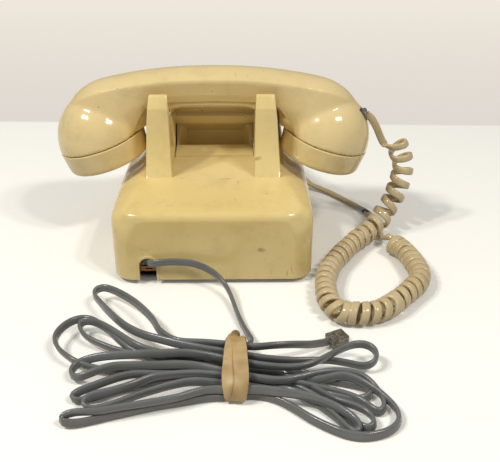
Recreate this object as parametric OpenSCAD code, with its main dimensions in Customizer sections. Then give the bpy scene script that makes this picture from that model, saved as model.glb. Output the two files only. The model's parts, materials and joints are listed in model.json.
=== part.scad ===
// Corded desk telephone with push-button keys, its handset lying on the cradle.
// Millimetres. +Z is up and the keys face -Y. The origin is under the middle of the set,
// on the surface that the four feet stand on.

/* [Body] */
// Depth of the housing, front to back
body_depth = 210; // [208:0.5:212]
// Width of the housing at its widest
body_width = 142; // [141:0.5:144]
// Height of the rear deck at the back shoulder
deck_height = 55.5; // [54.5:0.5:56.5]
// Height of the bar between the front ears
crest_height = 91; // [90:0.5:91]
// Thickness of the moulded walls
wall = 3; // [2.6:0.1:3]
// Height of the housing's lower edge above the table
rim_height = 4; // [3.6:0.1:4]

/* [Cradle] */
// Height of the saddles that the handset lies on
saddle_height = 104.6; // [104.2:0.1:104.6]
// Height of the rear ears
rear_ear_height = 121.7; // [119:0.1:124]
// Height of the front ears
front_ear_height = 112.5; // [110:0.5:114]
// Travel of the two hook plungers
plunger_travel = 4.5; // [3:0.1:4.5]

/* [Handset] */
// Distance between the middles of the two caps
cap_spacing = 168.2; // [167:0.1:169]
// Diameter of the caps at their seam
cap_diameter = 64.4; // [63:0.1:64.4]
// Inward tilt of the caps
cap_tilt = 17; // [16:0.5:18]
// Depth of a cap
cap_depth = 17.5; // [16:0.5:18]

/* [Keys] */
// Distance between key centres
key_pitch = 17.6; // [17:0.1:18]
// Width of a key
key_width = 12.6; // [12:0.1:13]
// Height of a key, measured up the face
key_height = 11; // [10:0.1:11.4]
// Stroke of a key
key_stroke = 3; // [2:0.1:3]

/* [Cords] */
// Width of the flat line cord
line_cord_width = 5.6; // [5:0.1:5.6]
// Thickness of the flat line cord
line_cord_thickness = 2.6; // [2.4:0.1:2.8]
// Outer diameter of the curly cord's coil
coil_diameter = 15; // [13:0.5:15]
// Diameter of the curly cord's own strand
strand_diameter = 4.2; // [4:0.1:4.2]

/* [Hidden] */
$fn = 48;
KEY_NODES = [for (k = ["1", "2", "3", "4", "5", "6", "7", "8", "9", "star", "0", "hash"]) str("key_", k)];

gap = 0.3; // clearance between loose or moving pieces
plastic = [0.84, 0.76, 0.55];
steel = [0.66, 0.67, 0.68];
brass = [0.78, 0.63, 0.32];
black = [0.12, 0.12, 0.13];
grey = [0.50, 0.52, 0.54];
clear = [0.85, 0.85, 0.80, 0.5];

// ---- small helpers ----
module block(x, y, z) {
    translate([x[0], y[0], z[0]]) cube([x[1] - x[0], y[1] - y[0], z[1] - z[0]]);
}
module both_sides() {
    children();
    mirror([1, 0, 0]) children();
}
// A tapered block from a lower rectangle [x0, x1, y0, y1, z] to an upper one.
module tapered_block(low, high) {
    corners = [for (r = [low, high]) for (c = [[0, 2], [1, 2], [1, 3], [0, 3]]) [r[c[0]], r[c[1]], r[4]]];
    polyhedron(corners, [[0, 1, 2, 3], [7, 6, 5, 4], [4, 5, 1, 0], [5, 6, 2, 1], [6, 7, 3, 2], [7, 4, 0, 3]], 2);
}
module rod_x(x, y, z, r) {
    translate([x[0], y, z]) rotate([0, 90, 0]) cylinder(r = r, h = x[1] - x[0]);
}
function unit(v) = v / norm(v);
function arc_rise(off, r) = off >= r ? r : sqrt(r * r - (r - off) * (r - off));
// Skin over equal rings of points, with flat ends.
module skin(rings) {
    n = len(rings[0]);
    m = len(rings);
    sides = [for (i = [0:m - 2]) for (j = [0:n - 1])
             let (a = i * n + j, b = i * n + (j + 1) % n)
             for (f = [[a, b, a + n], [b, b + n, a + n]]) f];
    ends = [[for (j = [n - 1:-1:0]) j], [for (j = [0:n - 1]) (m - 1) * n + j]];
    polyhedron([for (r = rings) for (p = r) p], concat(sides, ends), 2);
}

// ---- housing: a loft of cross-sections from the front lip to the rear wall ----
half = body_width / 2;
rear = body_depth / 2;
front = -rear;
shoulder_r = 10;         // rounding of the rear shoulder
nose_r = 9;              // rounding of the front lip
rear_corner_r = 22;      // plan rounding at the back
front_corner_r = 26;     // plan rounding at the front
seam = [28, 66.4];       // y and z where the deck meets the finger pocket's insert
crest_rear = 5.5;
crest_front = -2;
brow = 3;                // length of the bevel between the crest and the face
lip_height = 25;         // top of the front lip, where the face starts
lip_rear = front + nose_r;
face_top = crest_height - 2;
face_angle = atan((face_top - lip_height) / (crest_front - brow - lip_rear));

function deck_line(y) =
    deck_height + (seam[1] - deck_height) * (rear - shoulder_r - y) / (rear - shoulder_r - seam[0]);
function top_z(y) =
    y > rear - shoulder_r ? deck_height - shoulder_r + arc_rise(rear - y, shoulder_r) :
    y > seam[0] ? deck_line(y) :
    y > crest_rear ? seam[1] + (crest_height - seam[1]) * (seam[0] - y) / (seam[0] - crest_rear) :
    y > crest_front ? crest_height :
    y > crest_front - brow ? crest_height - 2 * (crest_front - y) / brow :
    y > lip_rear ? lip_height + (y - lip_rear) * tan(face_angle) :
    lip_height - nose_r + arc_rise(y - front, nose_r);

// Each side climbs from the top of the side wall over a hollow slope to the edge of the top.
side_top = [[-105, 9], [-96, 15], [-70, 22], [-40, 31], [-10, 44], [0, 47], [60, 48.5], [95, 46], [105, 36]];
edge_in = [[-105, 8], [-96, 9], [-70, 14], [-40, 18], [-5, 21], [57, 20], [95, 10], [105, 8]];
foot_in = [[-96, 0.5], [-70, 0.8], [-40, 0.93], [0, 0.94], [28, 0.85], [45, 0.6], [60, 0.5]];
foot_up = [[-96, 0.5], [-70, 0.35], [-40, 0.33], [0, 0.25], [12, 0.3], [28, 0.5], [60, 0.5]];
draft = 1.2;             // how much narrower the housing is at its lower edge
corner_cut = 8;          // length of edge that each rounding takes
corner_steps = 5;

function corner_loss(y) =
    y > rear - rear_corner_r ? rear_corner_r - arc_rise(rear - y, rear_corner_r) :
    y < front + front_corner_r ? front_corner_r - arc_rise(y - front, front_corner_r) : 0;
// A rounded corner at b between the straight runs from a and to c.
function rounded(a, b, c) =
    let (ca = min(corner_cut, norm(a - b) * 0.48), cc = min(corner_cut, norm(c - b) * 0.48),
         p = b + unit(a - b) * ca, q = b + unit(c - b) * cc)
    [for (i = [0:corner_steps])
        let (t = i / corner_steps) p * (1 - t) * (1 - t) + b * 2 * t * (1 - t) + q * t * t];
function half_section(y, inset) =
    let (w = half - corner_loss(y) - inset,
         top = top_z(y) - inset,
         low = min(lookup(y, side_top), top_z(y) - 7) - inset / 2,
         in = lookup(y, edge_in),
         foot = [w - in * lookup(y, foot_in), low + (top - low) * lookup(y, foot_up)],
         a = [w - draft, rim_height], b = [w, low], d = [w - in, top], e = [0, top])
    concat([a], rounded(a, b, foot), rounded(b, foot, d), rounded(foot, d, e));
function section(y, inset, at_y) =
    let (h = half_section(y, inset))
    concat([for (p = h) [p[0], at_y, p[1]]],
           [for (i = [len(h) - 1:-1:0]) [-h[i][0], at_y, h[i][1]]]);

arc_cuts = [0, 0.3, 1.2, 3.4, 6.6, 10, 15.5, 22];
stations = concat(
    [for (c = arc_cuts) front + c],
    [-76, -66, -54, -40, -25, crest_front - brow, crest_front, crest_rear, 13, 20, seam[0], 38, 48, 60, 72],
    [for (i = [len(arc_cuts) - 1:-1:0]) rear - arc_cuts[i]]);

module housing_form() {
    skin([for (y = stations) section(y, 0, y)]);
}
module housing_hollow() {
    skin([for (y = stations) [for (p = section(y, wall, y * (rear - wall) / rear))
          [p[0], p[1], p[2] == rim_height ? rim_height - 1 : p[2]]]]);
}

// ---- cradle: a cheek on each side, with a rear ear and a front ear ----
cheek = [29.8, 49.1];    // inner and outer face of a cheek at the deck
cheek_rear = 57.5;
cheek_low = 61.3;        // the cheeks start inside the thickness of the deck
plunger_at = [39.2, 26];
plunger_r = 4;
collar_top = 60.2;       // of the collar that keeps a plunger in
guide_low = collar_top + plunger_travel + 1.3;
pocket_half = 29.4;

module cheek_form() {
    tapered_block([cheek[0], cheek[1], -1, cheek_rear, cheek_low], [30.5, 46, 0, 56.2, saddle_height]);
    // rear ear, with its bevelled top
    tapered_block([30.3, 46.4, 46, 56.3, 100], [30.6, 45.3, 46.8, 55.9, 113]);
    tapered_block([30.6, 45.3, 46.8, 55.9, 112.9], [31.2, 44.4, 47.5, 50.8, rear_ear_height]);
    // front ear, flaring outwards
    tapered_block([30, 49.5, -4.5, 9.5, 84], [30.6, 52.5, -5, 9, 104]);
    tapered_block([30.6, 52.5, -5, 9, 103.9], [32, 54.5, -3, 7.5, front_ear_height]);
}
module cheek_hollow() {
    difference() {
        tapered_block([32.4, 46.4, 2, 54, 50], [33, 43.4, 3, 53, saddle_height - wall]);
        translate([plunger_at[0], plunger_at[1], guide_low]) cylinder(r = plunger_r + 2.2, h = 40);
    }
}
module seat_bore() {
    translate([plunger_at[0], plunger_at[1], 50]) cylinder(r = plunger_r + gap, h = 60);
}

// ---- screw bosses, notches and the face opening ----
boss_y = 98.3;
boss_r = 4.2;
screw_r = 1.8;
notch_x = 45.7;          // middle of the line cord's notch in the rear wall
notch_half = 6;
notch_top = 21.7;
notch_bead = [1.5, 0.7];  // width and height of the bead round the notch
jack_y = -60;            // middle of the handset cord's notch in the left wall
jack_half = 6.6;
jack_top = 18.5;
plate_size = [80, 92];
plate_low = 9;           // distance from the lip to the plate's lower edge, up the face
plate_thick = 2.6;
plate_proud = 0.6;
plate_corner = 6;

module on_face(s = 0, h = 0) {
    translate([0, lip_rear, lip_height]) rotate([face_angle, 0, 0]) translate([0, s, h]) children();
}
module rounded_rect(size, r) {
    hull() for (x = [-1, 1], y = [-1, 1])
        translate([x * (size[0] / 2 - r), y * (size[1] / 2 - r)]) circle(r = r, $fn = 32);
}
module plate_outline(grow) {
    translate([0, plate_low + plate_size[1] / 2])
        rounded_rect([plate_size[0] + 2 * grow, plate_size[1] + 2 * grow], plate_corner + grow);
}

// The notch's outline, and its run from y0 to y1.
module notch_run(grow, y0, y1) {
    translate([notch_x, y1, 0]) rotate([90, 0, 0]) linear_extrude(y1 - y0) {
        translate([0, notch_top - notch_half]) circle(r = notch_half + grow);
        translate([-notch_half - grow, 0]) square([2 * (notch_half + grow), notch_top - notch_half]);
    }
}

module housing() {
    color(plastic) difference() {
        union() {
            intersection() {
                notch_run(notch_bead[0], rear - 1, rear + notch_bead[1]);
                block([0, half], [0, rear + 5], [rim_height, deck_height]);
            }
            difference() {
                housing_form();
                housing_hollow();
            }
            both_sides() cheek_form();
            // the bar between the front ears turns down to meet the pocket
            block([-cheek[0] - 1, cheek[0] + 1], [2.6, crest_rear], [84, crest_height - 0.4]);
            for (s = [-1, 1]) translate([0, s * boss_y, 6]) cylinder(r = boss_r, h = 12);
        }
        both_sides() cheek_hollow();
        both_sides() seat_bore();
        // the insert's place between the cheeks
        block([-pocket_half - 0.4, pocket_half + 0.4], [crest_rear, seam[0]], [50, 130]);
        for (s = [-1, 1]) translate([0, s * boss_y, 0]) cylinder(r = screw_r + 0.05, h = 16);
        // rear notch for the line jack
        notch_run(0, rear - 7, rear + 5);
        // side notch for the handset cord's jack
        block([-half - 5, -half + 8], [jack_y - jack_half, jack_y + jack_half], [0, jack_top]);
        on_face(0, -6) linear_extrude(12) plate_outline(gap);
    }
}

// A tray let into the housing between the cheeks: a sloping lip, then a pocket for the fingers.
lip_edge = [12, 69.2];
module finger_pocket() {
    tray = 2;
    color(plastic) {
        difference() {
            hull() {
                block([-pocket_half, pocket_half], [lip_edge[0] - 2, lip_edge[0]], [60, lip_edge[1]]);
                block([-pocket_half, pocket_half], [1.5, 2.3], [60, 83.8]);
                block([-24, 24], [-6.5, -5.5], [59, 77]);
            }
            hull() {
                block([-pocket_half + tray, pocket_half - tray], [lip_edge[0] - tray, 20], [65, 90]);
                block([-24 + tray, 24 - tray], [-6.5 + tray, -4], [61, 75]);
            }
        }
        translate([-pocket_half, 0, 0]) rotate([90, 0, 90]) linear_extrude(2 * pocket_half)
            polygon([[seam[0] - 0.3, seam[1]], lip_edge, [lip_edge[0], lip_edge[1] - 2.2],
                     [seam[0] - 0.3, seam[1] - 2.2]]);
        // hooks that reach under the deck
        for (x = [-20, 20]) translate([x - 5, 0, 0]) rotate([90, 0, 90]) linear_extrude(10)
            polygon([[seam[0] - 2, seam[1] - 1], [seam[0] - 2, seam[1] - 5.4], [seam[0] + 4, seam[1] - 6.2],
                     [seam[0] + 4, seam[1] - 4.3], [seam[0] - 0.3, seam[1] - 3.5], [seam[0] - 0.3, seam[1] - 1]]);
    }
}

// ---- base ----
plate_z = 4.2;           // underside of the base plate
sheet = 1.5;
floor_z = plate_z + sheet;
foot_at = [52, 78];
wheel_at = [59, -45, 14];
wheel_r = 12.5;

module base_outline(grow) {
    hull() {
        for (x = [-1, 1]) translate([x * (half - draft - wall - rear_corner_r - 0.3), rear - wall - rear_corner_r])
            circle(r = rear_corner_r - wall + grow);
        for (x = [-1, 1]) translate([x * (half - draft - wall - front_corner_r - 0.3), front + wall + front_corner_r])
            circle(r = front_corner_r - wall + grow);
    }
}
module base_plate() {
    color(steel) difference() {
        union() {
            translate([0, 0, plate_z]) linear_extrude(sheet) base_outline(2.2);
            // pressed ribs that stiffen the pan
            for (x = [-20, 20]) block([x - 4, x + 4], [14, 41], [floor_z - 0.1, floor_z + 1.2]);
        }
        for (s = [-1, 1]) translate([0, s * boss_y, 0]) cylinder(r = screw_r + 0.3, h = 12);
        for (x = [-1, 1], y = [-1, 1]) translate([x * foot_at[0], y * foot_at[1], 0]) cylinder(r = 2.6, h = 12);
        // slot that the volume wheel shows through
        block([wheel_at[0] - 2.4, wheel_at[0] + 2.4], [wheel_at[1] - 11, wheel_at[1] + 11], [0, 12]);
        // sound slots under the gongs
        for (x = [-30, 30], i = [-2:2]) block([x - 9, x + 9], [-46 + i * 6, -43.5 + i * 6], [0, 12]);
    }
}
module feet() {
    color(black) for (x = [-1, 1], y = [-1, 1]) translate([x * foot_at[0], y * foot_at[1], 0])
        rotate_extrude() polygon([[0, 0], [7, 0], [8, 0.9], [8, plate_z], [2.4, plate_z],
                                  [2.4, floor_z], [3.6, floor_z], [2.6, floor_z + 2.4], [0, floor_z + 2.4]]);
}
module housing_screws() {
    color(steel) for (s = [-1, 1]) translate([0, s * boss_y, 0]) difference() {
        union() {
            translate([0, 0, 1.9]) cylinder(r = 3.6, h = plate_z - 1.9);
            translate([0, 0, plate_z]) cylinder(r = screw_r, h = 9.5);
        }
        block([-0.5, 0.5], [-5, 5], [0, 2.7]);
    }
}

// ---- jacks and plugs: snap-in plugs with a spring latch ----
// A socket block whose mouth faces -X, with its back at x = 0.
module socket_block(size, mouth) {
    difference() {
        translate([-size[0], -size[1] / 2, -size[2] / 2]) cube(size);
        translate([-size[0] - 1, -mouth[0] / 2, -mouth[1] / 2]) cube([size[0], mouth[0], mouth[1]]);
    }
}
// A plug lying along X: its nose at x = 0 and its cord end at x = -size[0].
module plug_form(size) {
    translate([-size[0], -size[1] / 2, -size[2] / 2]) cube(size);
    translate([-size[0] + 1.5, -1.6, -size[2] / 2 - 0.9]) cube([size[0] - 3, 3.2, 1]);
}
line_plug_size = [12.4, 9.6, 6.6];
cord_socket = [13, 10.6, 9.6];
cord_plug_size = [12, 7.6, 6.6];
line_jack_y = [86, 100];
line_plug_at = [notch_x, 87.8, 16.8];
// Stands just inside the rear notch: the plug's mouth on top and a slot for its latch below.
module line_jack() {
    color([0.72, 0.52, 0.30]) difference() {
        union() {
            block([notch_x - 6, notch_x + 6], line_jack_y, [8.4, 21.8]);
            block([notch_x - 6, notch_x + 6], [line_jack_y[0], line_jack_y[0] + 7], [floor_z, 8.5]);
        }
        block([notch_x - 5.1, notch_x + 5.1], [line_jack_y[0] + 1.4, rear], [12.3, 20.6]);
        block([notch_x - 2.6, notch_x + 2.6], [line_jack_y[1] - 2, rear], [9.7, 10.9]);
    }
}
module line_plug() {
    color(clear) translate(line_plug_at) rotate([0, 0, -90]) plug_form(line_plug_size);
}
handset_jack_at = [-57, jack_y, 11.8];
module handset_jack() {
    color(black) {
        translate(handset_jack_at) socket_block(cord_socket, [8.4, 8.2]);
        block([-68, -58], [jack_y - 5, jack_y + 5], [floor_z, handset_jack_at[2] - cord_socket[2] / 2]);
    }
}
module base_plug() {
    color(clear) translate(handset_jack_at + [-3, 0, 0.1]) plug_form([13, cord_plug_size[1], cord_plug_size[2]]);
}

// ---- network block with its screw terminals ----
network = [-34, 26, 60, 91, floor_z, 27];
module network_block() {
    color([0.25, 0.20, 0.16]) difference() {
        union() {
            block([network[0], network[1]], [network[2], network[3]], [network[4], network[5] - 4]);
            block([network[0] + 2, network[1] - 2], [network[2] + 2, network[3] - 2], [network[5] - 4, network[5]]);
        }
        block([network[0] + 16, network[1] - 16], [network[2] - 1, network[3] + 1], [network[5] - 3, network[5] + 1]);
    }
}
module network_terminals() {
    color(brass) for (x = [network[0] + 9, network[1] - 9], i = [0:3])
        translate([x, network[2] + 5 + i * 7, network[5]]) cylinder(r = 2.6, h = 1.8);
}

// ---- ringer: two gongs, a coil and a clapper that swings between them ----
gong_at = [30, -45];
gong_r = 25;
gong_low = 9;
gong_high = 22;
clapper_pivot = [0, -17];
clapper_z = 15;
coil_z = 19.5;
module gong(side) {
    color(brass) translate([side * gong_at[0], gong_at[1], 0]) rotate_extrude()
        polygon([[gong_r, gong_low], [gong_r, gong_low + 5], [gong_r - 2.6, gong_high - 3], [gong_r - 8, gong_high],
                 [2.1, gong_high], [2.1, gong_high - 1.6], [gong_r - 8.8, gong_high - 1.6],
                 [gong_r - 4, gong_high - 4.2], [gong_r - 1.6, gong_low + 5], [gong_r - 1.6, gong_low]]);
}
module gong_left() { gong(-1); }
module gong_right() { gong(1); }
module ringer_frame() {
    color(steel) {
        difference() {
            block([-36, 36], [-50, 12], [floor_z + 0.0, floor_z + 1.5]);
            for (x = [-30, 30], i = [-2:2]) block([x - 9, x + 9], [-46 + i * 6, -43.5 + i * 6], [0, 12]);
            block([-14, 14], [-40, -24], [0, 12]);
        }
        for (x = [-1, 1]) difference() {
            translate([x * gong_at[0], gong_at[1], floor_z]) cylinder(r = 4, h = gong_high - 1.6 - floor_z);
            translate([x * gong_at[0], gong_at[1], floor_z + 4]) cylinder(r = 2.05, h = 20);
        }
        for (x = [-25.5, 24]) block([x, x + 1.5], [-14, 10], [floor_z, 31]);
        // pivot post of the clapper
        translate([clapper_pivot[0], clapper_pivot[1], floor_z]) cylinder(r = 3.2, h = 5.3);
        translate([clapper_pivot[0], clapper_pivot[1], floor_z + 5]) cylinder(r = 1.5, h = 10);
    }
}
module ringer_coil() {
    color([0.55, 0.24, 0.12]) {
        rod_x([-21, 21], -2, coil_z, 10.5);
        for (x = [-24, 21]) rod_x([x, x + 3], -2, coil_z, 12);
    }
}
module gong_screws() {
    color(steel) for (x = [-1, 1]) translate([x * gong_at[0], gong_at[1], 0]) difference() {
        union() {
            translate([0, 0, gong_high]) cylinder(r = 3.4, h = 2);
            translate([0, 0, floor_z + 6]) cylinder(r = 2, h = gong_high - floor_z - 6);
        }
        block([-4, 4], [-0.4, 0.4], [gong_high + 1.1, gong_high + 3]);
    }
}
module clapper() {
    color(brass) difference() {
        union() {
            translate([clapper_pivot[0], clapper_pivot[1], clapper_z - 3.6]) cylinder(r = 3.4, h = 5);
            block([-0.9, 0.9], [gong_at[1] + 2, clapper_pivot[1] - 2], [clapper_z - 1.6, clapper_z + 0.2]);
            translate([0, gong_at[1], clapper_z - 3]) cylinder(r = 3.1, h = 5);
        }
        translate([clapper_pivot[0], clapper_pivot[1], clapper_z - 8]) cylinder(r = 1.55, h = 16);
    }
}
module wheel_bracket() {
    color(steel) {
        block([wheel_at[0] + 2.6, wheel_at[0] + 4.1], [wheel_at[1] - 6, wheel_at[1] + 6], [floor_z, 21]);
        block([wheel_at[0] + 2.6, wheel_at[0] + 7], [wheel_at[1] - 6, wheel_at[1] + 6], [floor_z, floor_z + 1.5]);
        rod_x([wheel_at[0] - 2.4, wheel_at[0] + 2.6], wheel_at[1], wheel_at[2], 2);
    }
}
module volume_wheel() {
    teeth = 24;
    color(black) difference() {
        union() {
            rod_x([wheel_at[0] - 1.7, wheel_at[0] + 1.7], wheel_at[1], wheel_at[2], wheel_r - 1);
            for (i = [0:teeth - 1]) translate(wheel_at) rotate([i * 360 / teeth, 0, 0])
                translate([-1.7, wheel_r - 1.6, -0.8]) cube([3.4, 1.6, 1.6]);
        }
        rod_x([wheel_at[0] - 3, wheel_at[0] + 3], wheel_at[1], wheel_at[2], 2.05);
    }
}

// ---- hook switch: plungers press a hinged lever that works the contacts ----
pivot = [52, 55];        // y and z of the lever's pin
lever_top = 57.7;
upright_x = 20;
module hook_bracket() {
    color(steel) difference() {
        union() {
            block([-upright_x - 1.6, upright_x + 1.6], [44, 57.5], [floor_z, floor_z + 1.6]);
            for (x = [-upright_x - 1.6, upright_x]) block([x, x + 1.6], [44, 57.5], [floor_z, 58]);
            block([-upright_x, upright_x], [46, 57.5], [38.4, 40]);
        }
        rod_x([-upright_x - 3, upright_x + 3], pivot[0], pivot[1], 1.5);
    }
}
module hook_pin() {
    color(steel) {
        rod_x([-upright_x - 2.4, upright_x + 2.4], pivot[0], pivot[1], 1.5);
        for (x = [-upright_x - 3.4, upright_x + 2.4]) rod_x([x, x + 1], pivot[0], pivot[1], 2.4);
    }
}
module contact_stack() {
    color(brass) for (i = [0:3]) block([-7, 7], [30, 57], [41.4 + i * 2, 41.8 + i * 2]);
    color(black) difference() {
        block([-8, 8], [47, 57], [40, 49.4]);
        for (i = [0:3]) block([-7, 7], [40, 57.1], [41.4 + i * 2, 41.8 + i * 2]);
    }
}
module hook_lever() {
    color(steel) difference() {
        union() {
            rod_x([-upright_x + 0.4, upright_x - 0.4], pivot[0], pivot[1], 3.2);
            block([-upright_x + 0.4, upright_x - 0.4], [40, pivot[0]], [lever_top - 1.6, lever_top]);
            block([-46, 46], [34, 41], [lever_top - 1.6, lever_top]);
            both_sides() block([33, 44.8], [21, 35], [lever_top - 1.6, lever_top]);
        }
        rod_x([-upright_x - 3, upright_x + 3], pivot[0], pivot[1], 1.55);
    }
}
module plunger() {
    translate([plunger_at[0], plunger_at[1], 0]) rotate_extrude()
        polygon([[0, 58], [1.4, 58], [5.4, collar_top - 0.8], [5.4, collar_top], [plunger_r, collar_top + 0.8], [plunger_r, saddle_height - 1.1],
                 [plunger_r - 0.9, saddle_height - 0.2], [0, saddle_height - 0.1]]);
}
module plunger_right() { color(plastic) plunger(); }
module plunger_left() { color(plastic) mirror([1, 0, 0]) plunger(); }

// ---- keys: a plate in the sloping face, a chassis behind it and twelve keys ----
top_row = plate_low + 78;
function key_place(i) = [(i % 3 - 1) * key_pitch, top_row - floor(i / 3) * key_pitch];
plate_back = plate_proud - plate_thick;
chassis_depth = 13;
screw_x = 33;
screw_s = [40, 86];      // distance of the screws from the lip, up the face
chassis_mid = plate_low + 51;
chassis_half = 35.8;
card = [58, 13];
card_s = plate_low + 10.5;
module key_outline(grow) {
    w = key_width / 2 + grow;
    h = key_height / 2 + grow;
    c = 1.2;
    polygon([[-w + c, -h], [w - c, -h], [w, -h + c], [w, h - c], [w - c, h], [-w + c, h], [-w, h - c], [-w, -h + c]]);
}
module dial_plate() {
    color([0.80, 0.72, 0.52]) on_face(0, plate_back) difference() {
        linear_extrude(plate_thick) plate_outline(0);
        for (i = [0:11]) translate([key_place(i)[0], key_place(i)[1], -1]) linear_extrude(plate_thick + 2)
            key_outline(0.4);
        translate([-card[0] / 2, card_s - card[1] / 2, plate_thick - 1.5]) cube([card[0], card[1], 3]);
        for (x = [-1, 1], s = screw_s) translate([x * screw_x, s, -1]) cylinder(r = 1.6, h = 6);
    }
}
module dial_screws() {
    color(steel) for (x = [-1, 1], s = screw_s) on_face(s, 0) translate([x * screw_x, 0, 0]) {
        translate([0, 0, plate_proud]) cylinder(r = 2.6, h = 1);
        translate([0, 0, plate_back - 6]) cylinder(r = 1.5, h = 6 - plate_back + plate_proud);
    }
}
module number_card() {
    color("white") on_face(card_s, plate_proud - 1.5) translate([-28, -5.5, 0]) cube([56, 11, 0.4]);
}
module card_window() {
    color(clear) on_face(card_s, plate_proud - 1.1) translate([-28.8, -6.3, 0]) cube([57.6, 12.6, 1.3]);
}
module dial_chassis() {
    color(steel) on_face(chassis_mid, plate_back - chassis_depth) difference() {
        block([-36, 36], [-chassis_half, chassis_half], [0, chassis_depth]);
        block([-29, 29], [-chassis_half + sheet, chassis_half - sheet], [sheet, chassis_depth + 1]);
        for (x = [-1, 1], s = screw_s) translate([x * screw_x, s - chassis_mid, chassis_depth - 8])
            cylinder(r = 1.55, h = 9);
    }
}
module dial_board() {
    color([0.16, 0.32, 0.20]) on_face(chassis_mid, plate_back - chassis_depth + sheet)
        block([-28, 28], [-33.5, 33.5], [0, 1.2]);
}
// Legs that carry the chassis: one at each side near the crest and one across the front.
module dial_legs() {
    color(steel) {
        both_sides() {
            block([36, 37.5], [-20, -10], [floor_z, 72]);
            block([37.4, 44], [-20, -10], [floor_z, floor_z + sheet]);
        }
        block([-12, 12], [-74, -72.5], [floor_z, 33.4]);
        block([-12, 12], [-80, -73.9], [floor_z, floor_z + sheet]);
    }
}
module key_cap(i) {
    color([0.86, 0.80, 0.62]) on_face(key_place(i)[1], plate_back) translate([key_place(i)[0], 0, 0]) {
        linear_extrude(plate_thick + key_stroke + 0.2) key_outline(0);
        translate([0, 0, plate_thick + key_stroke + 0.2]) linear_extrude(1.2) key_outline(-1);
        translate([-key_width / 2 - 1.1, -key_height / 2 - 1.1, -1.6]) cube([key_width + 2.2, key_height + 2.2, 1.3]);
        translate([-2.5, -2.5, -6.5]) cube([5, 5, 6.6]);
        translate([-4, -3.5, -0.4]) cube([8, 7, 0.6]);
    }
}

// ---- handset: a handle that grows into a head at each end, each closed by a screwed cap ----
grip_y = 26;
cap_at = [cap_spacing / 2, grip_y, 80.8];
seam_r = cap_diameter / 2;
head_high = 36;
// Half widths and heights of the handle, by distance from its middle
under_z = [[0, 105.7], [26, 105.3], [30, 104.9], [48.5, 104.9], [50.5, 103.6], [52.3, 100.5], [53.8, 96.5], [55.2, 92.5],
           [57, 91.6], [84, 84], [100, 78.8], [107, 77]];
under_half = [[0, 12.5], [48, 13], [55, 14], [60, 18], [70, 25], [84, 29.5], [95, 27], [102, 20], [107, 12]];
ridge_half = [[0, 17.6], [51, 17.8], [65, 19.6], [82, 21.5], [93, 18.5], [101, 12.5], [107, 4]];
ridge_z = [[0, 124.6], [26, 124], [51, 121.9], [72, 118.4], [91, 112], [101, 105.5], [107, 100]];
crown_z = [[0, 134.8], [23, 134.2], [51, 131.2], [79, 125.6], [88, 122.8], [96, 118.4], [102, 113.2], [107, 106.6]];
handle_cuts = [3, 12, 21, 30, 39, 48.5, 50.5, 52.3, 53.8, 55.2, 57, 61, 65, 70, 76, 82, 88, 93, 97, 101, 104.5, 107];
crown_steps = 6;

function handle_half(x) =
    let (u = lookup(x, under_z), b = lookup(x, under_half), r = lookup(x, ridge_half),
         z = lookup(x, ridge_z), c = lookup(x, crown_z))
    concat([[b - 3, u], [b, u + 2.6], [(b + r) / 2 + 0.6, (u + z) / 2]],
           [for (i = [0:crown_steps - 1]) let (a = 90 * i / crown_steps) [r * cos(a), z + (c - z) * sin(a)]]);
function handle_ring(x) =
    let (h = handle_half(abs(x)))
    concat([for (p = h) [x, grip_y + p[0], p[1]]], [[x, grip_y, lookup(abs(x), crown_z)]],
           [for (i = [len(h) - 1:-1:0]) [x, grip_y - h[i][0], h[i][1]]]);
module handle_form() {
    skin([for (x = concat([for (i = [len(handle_cuts) - 1:-1:0]) handle_cuts[i]], [for (c = handle_cuts) -c]))
          handle_ring(x)]);
}
module in_cap_frame(side) {
    translate([side * cap_at[0], cap_at[1], cap_at[2]]) rotate([0, side * cap_tilt, 0]) children();
}
module head_form() {
    rotate_extrude() polygon(concat([[0, 0]],
        [for (i = [0:8]) let (a = i * 90 / 8) [seam_r * pow(cos(a), 1.05), head_high * pow(sin(a), 1.02)]]));
}
socket_mid = [-97, 30, 100];
module handset_shell() {
    color(plastic) difference() {
        union() {
            handle_form();
            for (s = [-1, 1]) in_cap_frame(s) {
                head_form();
                translate([0, 0, -8]) cylinder(r = 28.6, h = 9);
            }
        }
        for (s = [-1, 1]) in_cap_frame(s) translate([0, 0, -9]) cylinder(r = 26, h = 17);
        // recess for the cord's socket
        block([-125, socket_mid[0] + 0.1], [socket_mid[1] - 5.6, socket_mid[1] + 5.6],
              [socket_mid[2] - 5.1, socket_mid[2] + 5.1]);
    }
}
module cap(holes) {
    difference() {
        rotate_extrude() polygon([[0, -cap_depth + 1.6], [12, -cap_depth + 1.4], [23, -cap_depth + 0.4],
            [27.4, -cap_depth], [29.9, -cap_depth + 0.6], [31.2, -cap_depth + 2.4], [seam_r - 0.2, -0.35],
            [29, -0.35], [28.9, -cap_depth + 3.4], [24, -cap_depth + 2.8], [18.6, -cap_depth + 3.2], [18.6, -9.6],
            [16.6, -9.6], [16.6, -cap_depth + 3.4], [0, -cap_depth + 3.8]]);
        for (ring = holes) for (i = [0:ring[1] - 1]) rotate([0, 0, i * 360 / ring[1]])
            translate([ring[0], 0, -cap_depth - 1]) cylinder(r = 1.1, h = 8, $fn = 16);
    }
}
module receiver_cap() { color(plastic) in_cap_frame(1) cap([[0, 1], [5, 6]]); }
module transmitter_cap() { color(plastic) in_cap_frame(-1) cap([[0, 1], [5, 6], [10, 12]]); }
module receiver_unit() {
    color(grey) in_cap_frame(1) rotate_extrude()
        polygon([[0, -9.5], [20, -9.5], [25, -8], [25, -2], [20, 3], [14, 6], [0, 6]]);
}
module transmitter_unit() {
    color(steel) in_cap_frame(-1) rotate_extrude()
        polygon([[0, -9.5], [19, -9.5], [22, -8], [22, -1], [15, 1.5], [0, 1.5]]);
}
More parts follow.
